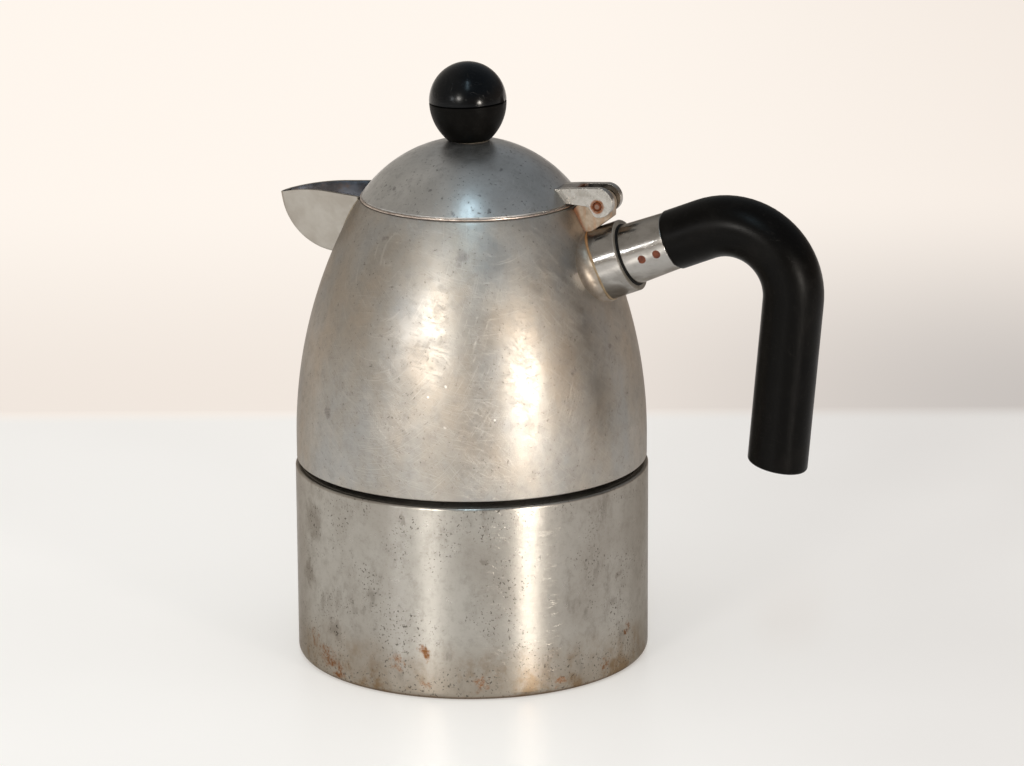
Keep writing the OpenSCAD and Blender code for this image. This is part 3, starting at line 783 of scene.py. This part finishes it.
LOOKS = {
    "boiler_steel": boiler_steel(), "brass": brass(), "inner_alloy": inner_alloy(),
    "seal_rubber": cream_seal(), "body_alloy": body_alloy(), "polished_steel": polished_steel(),
    "lid_alloy": lid_alloy(),
    "fibre_red": grained("red_fibre", 1.4, ((0.30, 0.045, 0.025), (0.16, 0.03, 0.02)), (0.6, 0.8), 0.06,
                         drawn=(1, 0.25, 1)),
    # The knob's washer: its pale fibre is coloured dark brown, partly dirt and partly painted shade from the
    # knob above it.
    "fibre_pale": grained("pale_fibre_dirt_and_shade", 1.4, ((0.09, 0.072, 0.05), (0.045, 0.036, 0.026)), (0.7, 0.9), 0.08,
                          drawn=(1, 1, 0.25)),
    "bright_steel": grained("bright_steel", 2.5, ((0.66, 0.65, 0.63), (0.50, 0.48, 0.45)), (0.2, 0.34), 0.01,
                            detail=4.0, fineness=0.6, spread=(0.4, 0.7), matt_at=0.75, Metallic=1.0),
    "pin_steel": grained("pin_steel", 0.9, ((0.085, 0.022, 0.012), (0.19, 0.06, 0.03)), (0.45, 0.75), 0.05,
                         spread=(0.38, 0.66), Metallic=0.55),
    "solder_run": grained("fillet_alloy", 2.5, ((0.34, 0.30, 0.255), (0.24, 0.20, 0.16)), (0.38, 0.52), 0.03,
                          detail=6.0, Metallic=0.95),
    "spout_seam": grained("spout_seam", 1.8, ((0.36, 0.31, 0.23), (0.27, 0.23, 0.17)), (0.38, 0.55), 0.05,
                          Metallic=0.9),
    "black_rubber": dark_plastic(
        "black_rubber", (0.008, 0.008, 0.008), (0.02, 0.019, 0.018), 0.10, 0.6, 0.8, 0.03),
    "grip_plastic": dark_plastic(
        "grip_plastic", (0.0012, 0.001, 0.0008), (0.0036, 0.003, 0.0025), 0.08, 0.30, 0.6, 0.009),
    "knob_plastic": dark_plastic(
        "knob_gloss", (0.0004, 0.0008, 0.0014), (0.0015, 0.002, 0.0025), 0.17, 0.13, 0.7, 0.002),
    "knob_matte": dark_plastic(
        "knob_matte", (0.0014, 0.0012, 0.0009), (0.004, 0.0035, 0.003), 0.05, 0.36, 0.6, 0.012)}


# ---------- boiler ----------

def helix(root, crest, top, turns):
    """A screw thread's ridge, running out at both ends."""
    steps = int(turns * 72)
    rings = []
    for i in range(steps + 1):
        t = i / steps
        full = min(1, t * turns * 3, (1 - t) * turns * 3)
        tip = root + (crest - root) * full
        z = top - turns * PITCH * t
        section = [(root, 0.9), (tip, 0.35), (tip, -0.35), (root, -0.9)]
        rings.append([upright(r, z + rise, 2 * math.pi * turns * t) for r, rise in section])
    return loft(rings)


def boiler():
    inner = BOILER_R - BOILER_WALL
    outline = rounded([
        (0, 0.5), (31, 0.5, 1), (33, 0, 1), (BOILER_R, 0, 2.2), (BOILER_R, BOILER_TOP, 0.8),
        (inner, BOILER_TOP, 0.15), (inner, BOILER_FLOOR, 1.8), (0, BOILER_FLOOR)])
    shell = combined("DIFFERENCE", lathe(divided(outline, 6), steps=240),
                     bar(VALVE_STUB_R + HAIR, -6, 6, on_valve, 48))
    piece("boiler_shell", shell, "boiler")
    neck = rounded([
        (inner - HAIR, BOILER_TOP, 0.15), (NECK_ROOT, BOILER_TOP, 0.5), (NECK_ROOT, NECK_TOP, 0.4),
        (NECK_BORE, NECK_TOP, 0.4), (NECK_BORE, BOILER_TOP - BOILER_WALL, 0.5),
        (inner - HAIR, BOILER_TOP - BOILER_WALL, 0.15)], closed=True)
    piece("boiler_shoulder", lathe(divided(neck, 6), steps=240), "boiler_neck")
    thread = helix(NECK_ROOT - SINK, NECK_R, THREAD_TOP + 0.3, 2.4)
    piece("boiler_thread", thread, "boiler_neck", stands=False)


def safety_valve():
    barrel = rounded([
        (VALVE_BORE_R, 10.5), (VALVE_BARREL_R, 10.5, 0.8), (VALVE_BARREL_R, 5.2), (VALVE_STUB_R, 5.0),
        (VALVE_STUB_R, -6, 0.4), (VALVE_BORE_R, -6, 0.3), (VALVE_BORE_R, -4), (2.7, -4), (2.7, 8.5),
        (VALVE_BORE_R, 8.5)], closed=True)
    piece("valve_barrel", lathe(barrel, on_valve, 64), "valve_body")
    stub = bar(VALVE_STUB_R, -9, 9, on_valve, 48)
    flank_r, face_r, slope = 7.2, 6.2, 0.6
    for name, node, near, far in (
            ("valve_hexagon", "valve_body", 1.2, 5.2), ("valve_locknut", "valve_nut", -5.8, -2.6)):
        domed = lathe([(0, near), (face_r, near), (flank_r, near + slope), (flank_r, far - slope),
                       (face_r, far), (0, far)], on_valve, 64)
        prism = bar(VALVE_HEX_R, near, far, on_valve, 6)
        hexagon = softened(combined("INTERSECT", prism, domed), 0.15, 35, 2)
        nut = combined("DIFFERENCE", hexagon, stub.copy())
        piece(name, nut, node, stands=node == "valve_nut", flat=True)
    stub.free()

    def on_wall(r, s, turn):
        """As on_valve, with s below zero brought to the boiler's round wall."""
        point = on_valve(r, s, turn)
        if s < 0:
            point.y = math.sqrt(BOILER_R ** 2 - point.x ** 2) + HAIR
        return point

    hole_r, washer_r = VALVE_BARREL_R + HAIR, 6.4
    washer = rounded([(hole_r, -0.5), (hole_r, 1.2), (washer_r, 1.2, 0.3), (washer_r, -0.5)], closed=True)
    piece("valve_seal", lathe(washer, on_wall, 64), "valve_washer")
    rod = rounded([(0, -3.9), (2.3, -3.9, 0.3), (2.3, -2.5, 0.3), (1.2, -2.5), (1.2, 11.3, 0.5), (0, 11.3)])
    piece("valve_rod", lathe(rod, on_valve, 48), "valve_poppet")
    turns, mean, start, end = 5, 1.9, -2.0, 7.9
    count = turns * 20
    windings = spaced(0, 2 * math.pi * turns, count)
    path = [on_valve(mean, s, t) for s, t in zip(spaced(start, end, count), windings)]
    spring = tube(path, lambda t: 0.25, Vector((0, 1, 0)))
    coil = piece("valve_coil", spring, "valve_spring")
    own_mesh(coil)


# ---------- funnel and seal ----------

def funnel():
    top, rim_r, basket_r, sheet = NECK_TOP + 1, NECK_ROOT - 0.6, NECK_BORE - 0.6, 0.8
    bottom, stem_r, ledge = top - 20, 5.5, 4
    cone_end = bottom - 14
    collar = stem_r + HAIR
    outline = rounded([
        (basket_r - sheet, top, 0.5), (rim_r, top, 0.4), (rim_r, NECK_TOP, 0.3), (basket_r, NECK_TOP),
        (basket_r, bottom, 1.5), (basket_r - ledge, bottom, 1), (collar + sheet, cone_end, 1),
        (collar + sheet, cone_end - 4, 0.2), (collar, cone_end - 4), (collar, cone_end + 0.6),
        (basket_r - ledge - 0.4, bottom + sheet, 1), (basket_r - sheet, bottom + sheet, 0.9)], closed=True)
    piece("funnel_cup", lathe(outline, steps=144), "funnel")
    foot = low("funnel_stem").z
    head, bore = cone_end + 0.4, stem_r - sheet
    tube_wall = rounded([(bore, head, 0.2), (stem_r, head, 0.2), (stem_r, foot, 0.3), (bore, foot, 0.3)],
                        closed=True)
    piece("funnel_pipe", lathe(tube_wall, steps=72), "funnel_stem")


def seal():
    bottom, top = low("gasket").z, high("gasket").z
    inner, step_r, step = 30.5, 32.1, top - 0.8
    outline = rounded([(inner, bottom, 0.5), (NECK_R, bottom, 0.5), (NECK_R, top, 0.3), (step_r, top, 0.2),
                       (step_r, step), (inner, step, 0.2)], closed=True)
    piece("seal_ring", lathe(outline, steps=144), "gasket")


# ---------- collector ----------

def collector_base():
    bore, wall, floor, pipe = 39.25, 2.4, low("gasket").z + 2.1, 5
    top = floor + 1.6
    lift = floor + 11
    flange_r, flange_top = BODY_R - BODY_WALL - HAIR, BODY_LOW + 1.8
    outline = rounded([
        (bore, BODY_LOW, 0.3), (flange_r, BODY_LOW, 0.2), (flange_r, flange_top),
        (bore + wall, flange_top, 0.8), (bore + wall, top, 1.2), (14.5, top, 3), (pipe + 1.6, lift + 2, 2),
        (pipe + 1.6, lift + 8, 0.5), (pipe + HAIR, lift + 8), (pipe + HAIR, lift), (pipe - 0.8, lift),
        (pipe - 0.8, lift - 1), (12, floor, 2), (bore, floor, 0.8)], closed=True)
    piece("collector_floor", lathe(divided(outline, 6), steps=144), "collector_base")
    thread = helix(bore + SINK, bore - 0.9, THREAD_TOP + PITCH / 2, 1.8)
    piece("collector_thread", thread, "collector_base", stands=False)


def notch():
    """Solid that leaves the pointed opening behind the spout."""
    sides = [(-1.2, 117), (1.2, 117), (8.6, BODY_TOP + 1), (-8.6, BODY_TOP + 1)]
    return loft([[Vector((x, y, z)) for y, z in sides] for x in (-60, -20)])


def collector_body():
    heights = spaced(BODY_SHOULDER, BODY_TOP, 40)
    outer = [(body_radius(z), z) for z in heights]
    inner = [(body_radius(z, BODY_WALL), z) for z in reversed(heights)]
    outline = rounded([
        (BODY_R - BODY_WALL, BODY_LOW, 0.2), (BODY_R, BODY_LOW, 0.5), *outer[:-1], (*outer[-1], 0.5),
        (*inner[0], 0.4), *inner[1:]], closed=True)
    shell = combined("DIFFERENCE", lathe(outline, steps=240), notch())
    piece("collector_shell", shell, "collector_body")


def column():
    r, inner, bottom, top = 5, 3.8, low("column").z, high("column").z
    pipe = rounded([(inner, bottom, 0.2), (r, bottom, 0.3), (r, top, 0.3), (inner, top, 0.2)], closed=True)
    piece("column_pipe", lathe(divided(pipe, 8), steps=72), "column")
    cap_r, cap_top = r + 1.1, high("column_cap").z
    cap = lathe(rounded([
        (0, cap_top), (cap_r - 2, cap_top, 0.8), (cap_r, cap_top - 2, 0.8), (cap_r, top - 5, 0.3),
        (r + HAIR, top - 5, 0.1), (r + HAIR, top), (inner, top), (inner, cap_top - 1.2), (0, cap_top - 1.2)]),
        steps=96)
    hole_r, hole_z = 1.8, top + 2

    def along_y(q, s, t):
        return Vector((q * math.cos(t), s, hole_z + q * math.sin(t)))

    def along_x(q, s, t):
        return Vector((s, q * math.cos(t), hole_z + q * math.sin(t)))

    holes = [bar(hole_r, -9, 9, place, 32) for place in (along_y, along_x)]
    piece("column_spray", combined("DIFFERENCE", cap, *holes), "column_cap")


# ---------- spout ----------

def lip_height(x):
    return LIP_Z - 2.6 * max(0.0, (-x - 40) / 17) ** 2


def lip_half(x):
    """Half the spout's width at its lips."""
    past = SPOUT_REACH + x
    return (2.3 + 0.336 * past) * math.sqrt(min(1.0, max(0.02, past / 1.6)))


def spout_point(turn, side):
    """Point on the outer sheet: turn goes round the keel's centre, side from -1 to 1 across the V."""
    a = math.radians(turn)
    x, keel = KEEL.x + KEEL_R * math.sin(a), KEEL.z - KEEL_R * math.cos(a)
    top = max(keel + 0.05, lip_height(x))
    vee = (math.sqrt(side * side + 0.09) - 0.3) / (math.sqrt(1.09) - 0.3)
    return Vector((x, lip_half(x) * side, keel + (top - keel) * vee))


def spout():
    inner_turn, tip_turn, spans, half = 45, -86, 44, 14
    sides = [k / half for k in range(-half, half + 1)]

    def meets(s, gap):
        """Turn at which the line at side s stands gap inside the body's face."""
        return -solve(lambda t: outside_body(spout_point(-t, s)) + gap, -inner_turn, -tip_turn)

    starts = {s: meets(s, SINK) for s in sides}

    def sheet(i, s, inset):
        share = i / spans
        turn = starts[s] + (tip_turn - starts[s]) * share
        point = spout_point(turn, s)
        if inset == 0:
            return point
        along = spout_point(turn - 0.5, s) - spout_point(turn + 0.5, s)
        across = spout_point(turn, min(1, s + 0.02)) - spout_point(turn, max(-1, s - 0.02))
        out = along.cross(across).normalized()
        away = Vector((point.x - KEEL.x, point.y, point.z - KEEL.z))
        return point - out * inset * (1 if out.dot(away) > 0 else -1)

    rings = []
    for i in range(spans + 1):
        thin = SPOUT_WALL * min(1, 0.35 + (spans - i) / 8)
        outer = [sheet(i, s, 0) for s in sides]
        inner = [sheet(i, s, thin) for s in reversed(sides)]
        for point in inner:
            point.z = min(point.z, outer[0].z)
        rings.append(outer + inner)
    piece("spout_sheet", softened(loft(rings), 0.25, 60, 2), "spout", look=spout_alloy())
    path = [spout_point(meets(s, 0), s) for s in [k / 24 for k in range(-24, 25)]]
    seam = tube(path, lambda t: 0.35 * min(1, 0.3 + 6 * min(t, 1 - t)), Vector((-1, 0, 0.4)))
    piece("spout_joint", seam, "spout", stands=False, look=LOOKS["spout_seam"])


# ---------- hinge ----------

def hinge():
    x, z = HINGE.x, HINGE.z
    outline = [(x - 5.4, z + 0.6), (x - 7.6, z - 1.4), (x - 9, z - 8), (x - 2.7, z - 8), (x + 3.3, z - 3.4)]
    outline += arc(x, z, 3.6, -20, 105, 14)
    wall = [(body_radius(q) - SINK, q) for q in spaced(BODY_SHOULDER, BODY_TOP + 6, 30)]
    core = lathe([(0, BODY_SHOULDER), *wall, (0, BODY_TOP + 6)], steps=240)
    round_collar = bar(COLLAR_R - SINK, -30, 5, on_handle, 96)
    lug = combined("DIFFERENCE", plate(rounded(outline, closed=True), LUG_W), core, round_collar)
    piece("hinge_ear", softened(lug, 0.3, 40), "hinge_lug", look=lug_alloy(), flat=True)
    end = FORK_W / 2 + 0.2
    pin = rounded([(0, -end), (PIN_R, -end, 0.35), (PIN_R, end, 0.35), (0, end)])
    piece("hinge_rod", lathe(pin, on_hinge, 40), "hinge_pin", look=hinge_steel())


def lid_fork():
    ear_w = (FORK_W - LUG_W) / 2 - 0.25
    x, z, r = HINGE.x + 0.3, HINGE.z + 1, 4.1
    inside = DOME_R - 0.9
    start, end = [math.degrees(math.asin((height - DOME_Z) / inside)) for height in (z - 0.7, z + r - 1.1)]
    sunk = arc(0, DOME_Z, inside, start, end, 8)
    outline = [*sunk, (x - 7.5, z + r - 0.5, 12), *arc(x, z, r, 88, -105, 20), (x - 3.0, z - 1.2, 1.5)]
    ears = plate(rounded(outline, closed=True), FORK_W)
    slot = plate([(x - 6.3, z - 9), (x + 9, z - 9), (x + 9, z + 9), (x - 6.3, z + 9)], FORK_W - 2 * ear_w)
    bore = bar(PIN_R + 0.05, -9, 9, on_hinge, 40)
    fork = softened(combined("DIFFERENCE", ears, slot, bore), 0.32, 50)
    piece("lid_ears", fork, "lid_fork", look=fork_alloy(), flat=True)


# ---------- lid and knob ----------

def lid():
    mouth = body_radius(BODY_TOP, BODY_WALL)
    spigot = mouth - 0.9
    low_edge = math.degrees(math.asin((LID_RIM_Z - DOME_Z) / DOME_R))
    top_edge = 90 - math.degrees(math.asin((SCREW_R + 0.1) / DOME_R))
    dome = arc(0, DOME_Z, DOME_R, low_edge + 1.8, top_edge, 44)
    under = arc(0, DOME_Z, DOME_R - LID_WALL, top_edge, low_edge + 2.2, 44)
    outline = rounded([
        *dome, *under, (spigot - 0.8, LID_RIM_Z, 0.1), (spigot - 0.8, LID_RIM_Z - 2.2, 0.2),
        (spigot, LID_RIM_Z - 2.2, 0.2), (spigot, LID_RIM_Z + 0.1), (dome[0][0] - 0.1, LID_RIM_Z + 0.2)],
        closed=True)
    piece("lid_dome", lathe(outline, steps=240), "lid")

    def wavy(point):
        """Hand-worn rim: waves a few hundredths of a millimetre high."""
        t = math.atan2(point.y, point.x)
        waves = ((0.06, 7, 1), (0.06, 19, 0), (0.05, 43, 2), (0.04, 97, 0))
        lift = sum(height * math.sin(count * t + shift) for height, count, shift in waves)
        share = max(0.0, point.z - LID_RIM_Z)
        out = Vector((point.x, point.y, 0)).normalized()
        return Vector((0, 0, lift * share)) - out * (0.04 - 0.5 * lift) * share

    bead_r, bead_top = LID_RIM_R - 0.25, LID_RIM_Z + 0.55
    bead = rounded([(spigot + 0.1, LID_RIM_Z, 0.1), (bead_r, LID_RIM_Z, 0.2), (bead_r, bead_top, 0.2),
                    (LID_RIM_R - 1.2, bead_top)], closed=True)
    piece("lid_rim", warped(lathe(bead, steps=360), wavy), "lid", stands=False, look=rim_alloy())


def dome_at(r):
    """Height of the lid's dome at a distance from the pot's axis."""
    return DOME_Z + math.sqrt(DOME_R ** 2 - r * r)


def knob():
    nub = around(64, KNOB_R, KNOB_SEAM + 0.3)

    tilt = Matrix.Rotation(math.radians(2), 3, around(0, 1, 0))

    def settled(point):
        """A nub of flash where the mould's halves met, and the outside leaning a little on its screw."""
        near = math.exp(-((point - nub).length / 0.75) ** 2)
        from_axis = Vector((point.x, point.y, 0))
        above = point - Vector((0, 0, KNOB_FOOT))
        beside_insert = (from_axis.length - INSERT_R - 0.2) / 2
        over_insert = (point.z - INSERT_TOP - 0.15) / 0.3
        share = min(1, max(0, beside_insert, over_insert))
        return from_axis.normalized() * 0.5 * near + (tilt @ above - above) * share

    rise = KNOB_TOP - KNOB_SEAM
    groove_r, edge_r = KNOB_R - 0.65, KNOB_R - 0.22
    cap = rounded([(0, KNOB_SEAM), (groove_r, KNOB_SEAM, 0.1), (edge_r, KNOB_SEAM + 0.22, 0.15)])[:-1]
    cap += [(r, KNOB_SEAM + h * rise / KNOB_R) for r, h in arc(0, 0, KNOB_R - 0.2, 1.4, 89, 34)]
    cap.append((0, KNOB_TOP - 0.2))
    piece("knob_upper", warped(lathe(cap, steps=120), settled), "knob_cap")
    bore_top = INSERT_TOP + 0.1
    drop, narrowing = KNOB_SEAM - dome_at(KNOB_FOOT_R) - 0.3, edge_r - KNOB_FOOT_R
    side_r = (drop ** 2 + narrowing ** 2) / (2 * narrowing)
    lower_side = [(edge_r - side_r + math.sqrt(side_r ** 2 - q ** 2), KNOB_SEAM - q)
                  for q in [drop * k / 12 for k in range(11, 0, -1)]]
    base = rounded([
        (0, bore_top), (INSERT_R + HAIR, bore_top), (INSERT_R + HAIR, dome_at(INSERT_R) + 0.3),
        (KNOB_FOOT_R, dome_at(KNOB_FOOT_R) + 0.3, 0.4),
        *lower_side, (edge_r, KNOB_SEAM - 0.2, 0.15),
        (groove_r, KNOB_SEAM - HAIR, 0.1), (0, KNOB_SEAM - HAIR)])
    piece("knob_lower", warped(lathe(base, steps=120), settled), "knob_base",
          look=LOOKS["knob_matte"])

    ring_r, ring_h = KNOB_FOOT_R - 0.5, 0.3 - HAIR
    washer = rounded([(SCREW_R + 0.3, HAIR), (SCREW_R + 0.3, ring_h), (ring_r, ring_h, 0.1), (ring_r, HAIR)],
                     closed=True)
    ring = lathe(divided(washer, 1), lambda r, h, t: upright(r, dome_at(r) + h, t), 96)
    piece("knob_ring", ring, "knob_washer")
    head_r, head_top = 3.8, DOME_TOP - LID_WALL - 0.1
    screw = lathe(rounded([
        (0, head_top - 2.2), (head_r, head_top - 2.2, 0.7), (head_r, head_top, 0.2), (SCREW_R, head_top),
        (SCREW_R, head_top + 8.6, 0.4), (0, head_top + 8.6)]), steps=48)
    slot = loft([[Vector((px, py, pz)) for px, py in ((-0.5, -6), (0.5, -6), (0.5, 6), (-0.5, 6))]
                 for pz in (head_top - 4, head_top - 1.3)])
    piece("knob_bolt", combined("DIFFERENCE", screw, slot), "knob_screw")


# ---------- handle ----------

def handle():
    foot = -20

    def on_body(r, s, turn):
        """As on_handle, with s at foot brought just inside the body's face."""
        if s == foot:
            s = solve(lambda q: outside_body(on_handle(r, q, turn)) + SINK, -16, 0)
        return on_handle(r, s, turn)

    collar = rounded([(STUD_R + HAIR, foot), (COLLAR_R, foot)]) + rounded([
        (COLLAR_R, -3), (COLLAR_R, 0, 0.3), (LIP_R, 0, 0.15), (LIP_R, -1.2), (STUD_R + HAIR, -1.2)])
    piece("handle_socket", lathe(collar, on_body, 144), "handle_collar")
    turns = [2 * math.pi * k / 120 for k in range(120)]

    def on_face(r, t):
        """Distance along the handle at which the line at r and t meets the body."""
        return solve(lambda q: outside_body(on_handle(r, q, t)), -18, 0)

    def fillet_height(t):
        return on_face(COLLAR_R, t) + 0.3 + 2.5 * math.sin(t) ** 2

    rings = []
    for t in turns:
        edge = COLLAR_R + 0.5 + 2.9 * math.sin(t) ** 2
        base = on_face(edge, t)
        corners = [Vector(c) for c in (
            (COLLAR_R + HAIR, fillet_height(t)), (COLLAR_R + 0.1 * (edge - COLLAR_R), on_face(COLLAR_R, t)),
            (edge, base + HAIR))]
        hollow = [corners[0] * (1 - u) ** 2 + corners[1] * 2 * u * (1 - u) + corners[2] * u ** 2
                  for u in [k / 7 for k in range(8)]]
        sunk = COLLAR_R - SINK
        rings.append([on_handle(r, q, t) for r, q in (
            (sunk, fillet_height(t)), *hollow, (edge, base - SINK), (sunk, base - SINK))])
    piece("collar_fillet", loft(rings, looped=True), "handle_collar", slot="body_alloy", stands=False,
          look=LOOKS["solder_run"])
    path = [on_handle(COLLAR_R, fillet_height(t), t) for t in turns]
    bead = tube(path, lambda t: 0.34 + 0.10 * math.sin(40 * t) * math.sin(17 * t + 1), ALONG, looped=True)
    piece("handle_solder", bead, "handle_collar", stands=False, look=seam_residue())

    ring = rounded([(STUD_R + HAIR, -1.18), (LIP_R - HAIR, -1.18), (LIP_R - HAIR, FERRULE_GAP, 0.12),
                    (STUD_R + HAIR, FERRULE_GAP - HAIR)], closed=True)
    piece("handle_seal", lathe(ring, on_handle, 120), "collar_gasket")

    ferrule = rounded([
        (STUD_R + HAIR, FERRULE_GAP), (FERRULE_R, FERRULE_GAP, 0.45), (GRIP_R - 0.35, GRIP_START, 0.25),
        (SPIGOT_R, GRIP_START), (SPIGOT_R, SPIGOT_END, 0.3), (STUD_R + HAIR, SPIGOT_END)], closed=True)
    piece("handle_sleeve", lathe(divided(ferrule, 3), on_handle, 120), "handle_ferrule")

    aim = math.radians(10)
    across = UNDER * math.sin(aim) - Vector((0, 1, 0)) * math.cos(aim)
    beside = UNDER * math.cos(aim) + Vector((0, 1, 0)) * math.sin(aim)
    pins = bmesh.new()
    for s in (5.9, 10.4):
        centre = HANDLE_START + ALONG * s
        reach = FERRULE_R - (FERRULE_R - GRIP_R + 0.35) * s / GRIP_START + 0.04

        def on_pin(r, q, turn, centre=centre):
            return centre + across * q + r * (ALONG * math.cos(turn) + beside * math.sin(turn))

        rivet = rounded([(0, -reach), (RIVET_R, -reach, 0.15), (RIVET_R, reach, 0.15), (0, reach)])
        rivet = lathe(rivet, on_pin, 32)
        spare = bpy.data.meshes.new("spare")
        rivet.to_mesh(spare)
        rivet.free()
        pins.from_mesh(spare)
        bpy.data.meshes.remove(spare)
    piece("handle_rivets", pins, "ferrule_pins")

    def slanted(r, s, turn):
        """As on_handle, with the end face cut a little askew: longer on the outer side."""
        near_end = min(1, max(0, (s - GRIP_END + 12) / 12))
        return on_handle(r, s + near_end * 0.9 * (r / GRIP_R * math.cos(turn) - 0.7), turn)

    socket_r, socket_end = SPIGOT_R + HAIR, SPIGOT_END + 0.7
    grip = rounded([(0, socket_end), (socket_r, socket_end), (socket_r, GRIP_START, 0.3),
                    (GRIP_R, GRIP_START, 0.7), (GRIP_R, GRIP_END, 1.1), (0, GRIP_END)])
    piece("handle_body", lathe(divided(grip, 1.6), slanted, 96), "handle_grip")


boiler()
safety_valve()
funnel()
seal()
collector_base()
collector_body()
column()
spout()
hinge()
lid_fork()
lid()
knob()
handle()

for node in ("funnel_strainer", "filter_plate", "handle_stud", "knob_insert"):
    shown, slot = frame["nodes"][node], SLOT_OF[node]
    shown.data.materials.clear()
    shown.data.materials.append(LOOKS[slot])


# ---------- floor, light and camera ----------

def floor():
    """Pale table top that glows with painted light, darker to the right with painted shade; past the line
    behind the pot it is a painted wall that glows as light as the wall, darker at its foot and to the right
    with painted shade.
    """
    reach = 20000
    mesh = bmesh.new()
    mesh.faces.new([mesh.verts.new((x, y, -0.02)) for x, y in
                    ((-reach, -reach), (reach, -reach), (reach, reach), (-reach, reach))])
    mesh.transform(Matrix.Scale(MM, 4))
    made = as_object(mesh, "floor")
    p = Paint("table")
    back = p.measure("DOT_PRODUCT", p.place, -FACING)
    right = p.measure("DOT_PRODUCT", p.place, RIGHT)
    beyond = p.levels(back, 0.236, 0.254)
    tone = p.noise(160, detail=2.0)
    p.base(tone, 0.35, 0.65, (0.49, 0.49, 0.49), (0.51, 0.51, 0.51))
    p.coat(beyond, (0.0, 0.0, 0.0))
    # Painted light: the table in front glows to fill in its shadows, with painted shade darkening it to the
    # right.
    front_painted_light = p.mix(p.levels(right, 0.0, 0.16), (0.37, 0.355, 0.33), (0.27, 0.25, 0.23))
    # The painted wall beyond the line glows, with painted shade darkening it to the right.
    wall = p.mix(p.levels(right, 0.0, 0.35), (1.0, 0.925, 0.85), (0.90, 0.82, 0.75))
    # Painted shade: a darker band at the foot of the painted wall, darker still to the right.
    line = p.mix(p.levels(right, -0.02, 0.20), (0.88, 0.80, 0.73), (0.58, 0.54, 0.51))
    wall = p.mix(p.levels(back, 0.244, 0.60), line, wall)
    p.link(p.mix(beyond, front_painted_light, wall), "Emission Color")
    p.shader.inputs["Emission Strength"].default_value = 1.0
    p.link(p.levels(back, 0.254, 0.236, 0.0, 0.5), "Specular IOR Level")
    made.data.materials.append(p.done(p.levels(tone, 0.3, 0.7, 0.30, 0.36)))


def lamp(name, turn, lift, distance, size, radiance, tint):
    """Area light round the pot: turn to the camera's right of the front, lift above the table."""
    target = Vector((0, 0, 0.09))
    away = around(turn, math.cos(math.radians(lift)), math.sin(math.radians(lift)))
    light = bpy.data.lights.new(name, "AREA")
    light.shape = "ELLIPSE"
    light.size, light.size_y = size
    light.energy = radiance * math.pi * size[0] * size[1]
    light.color = tint
    made = bpy.data.objects.new(name, light)
    made.location = target + away * distance
    made.rotation_euler = away.to_track_quat("Z", "Y").to_euler()
    bpy.context.scene.collection.objects.link(made)


def world():
    """Plain white to the eye and on the table; the metal mirrors a soft room, darker above and right."""
    made = bpy.data.worlds.new("studio")
    made.use_nodes = True
    bpy.context.scene.world = made
    g = Graph(made.node_tree)
    g.tree.nodes.clear()
    view = g.node("TexCoord", {}).outputs["Generated"]
    facing = g.measure("DOT_PRODUCT", view, FACING)
    right = g.measure("DOT_PRODUCT", view, RIGHT)
    up = g.node("SeparateXYZ", {0: view}).outputs[2]
    side = g.mix(g.levels(right, -0.4, 0.7), (0.56, 0.51, 0.45), (0.43, 0.33, 0.25))
    behind = g.mix(g.levels(right, -0.5, 0.6), (0.52, 0.48, 0.43), (0.20, 0.17, 0.15))
    low_part = g.mix(g.levels(facing, -0.2, -0.7), side, behind)
    above = g.mix(g.levels(right, -0.55, 0.1), (0.46, 0.43, 0.39), (0.25, 0.27, 0.29))
    room = g.mix(g.levels(up, 0.12, 0.55), low_part, above)
    path = g.node("LightPath", {})
    soft = g.mix(path.outputs["Is Glossy Ray"], (0.96, 0.94, 0.92), room)
    seen = g.mix(path.outputs["Is Camera Ray"], soft, (1.0, 0.925, 0.847))
    background = g.node("Background", {"Color": seen, "Strength": 1.0})
    g.node("OutputWorld", {"Surface": background.outputs[0]})


def camera():
    """Stands where the photograph was taken from, with a long lens, level but for a hair."""
    view = bpy.data.cameras.new("camera")
    view.sensor_width = 36
    view.lens = 151.2
    view.clip_start, view.clip_end = 0.05, 50
    made = bpy.data.objects.new("camera", view)
    turn, pitch, roll = (math.radians(a) for a in (FRONT, 15.088, -0.315))
    to_right, back, rise = 11.46, 1173.1, 393.7
    made.location = (RIGHT * to_right + FACING * back + Vector((0, 0, rise))) * MM
    made.rotation_euler = (Matrix.Rotation(turn, 3, "Z") @ Matrix.Rotation(math.pi / 2 - pitch, 3, "X")
                           @ Matrix.Rotation(roll, 3, "Z")).to_euler()
    bpy.context.scene.collection.objects.link(made)
    bpy.context.scene.camera = made


floor()
lamp("right_lamp", 35.5, 6, 1.5, (0.25, 0.18), 66, (1.0, 0.93, 0.84))
lamp("left_lamp", -27, 18, 1.5, (0.30, 0.20), 35, (1.0, 0.96, 0.90))
lamp("edge_lamp", -47.4, 14.8, 1.4, (0.14, 0.08), 30, (0.93, 0.96, 1.0))
lamp("window", -0.5, 57, 1.4, (0.11, 0.7), 9, (0.62, 0.86, 1.0))
world()
camera()
bpy.context.scene.view_settings.view_transform = "Standard"
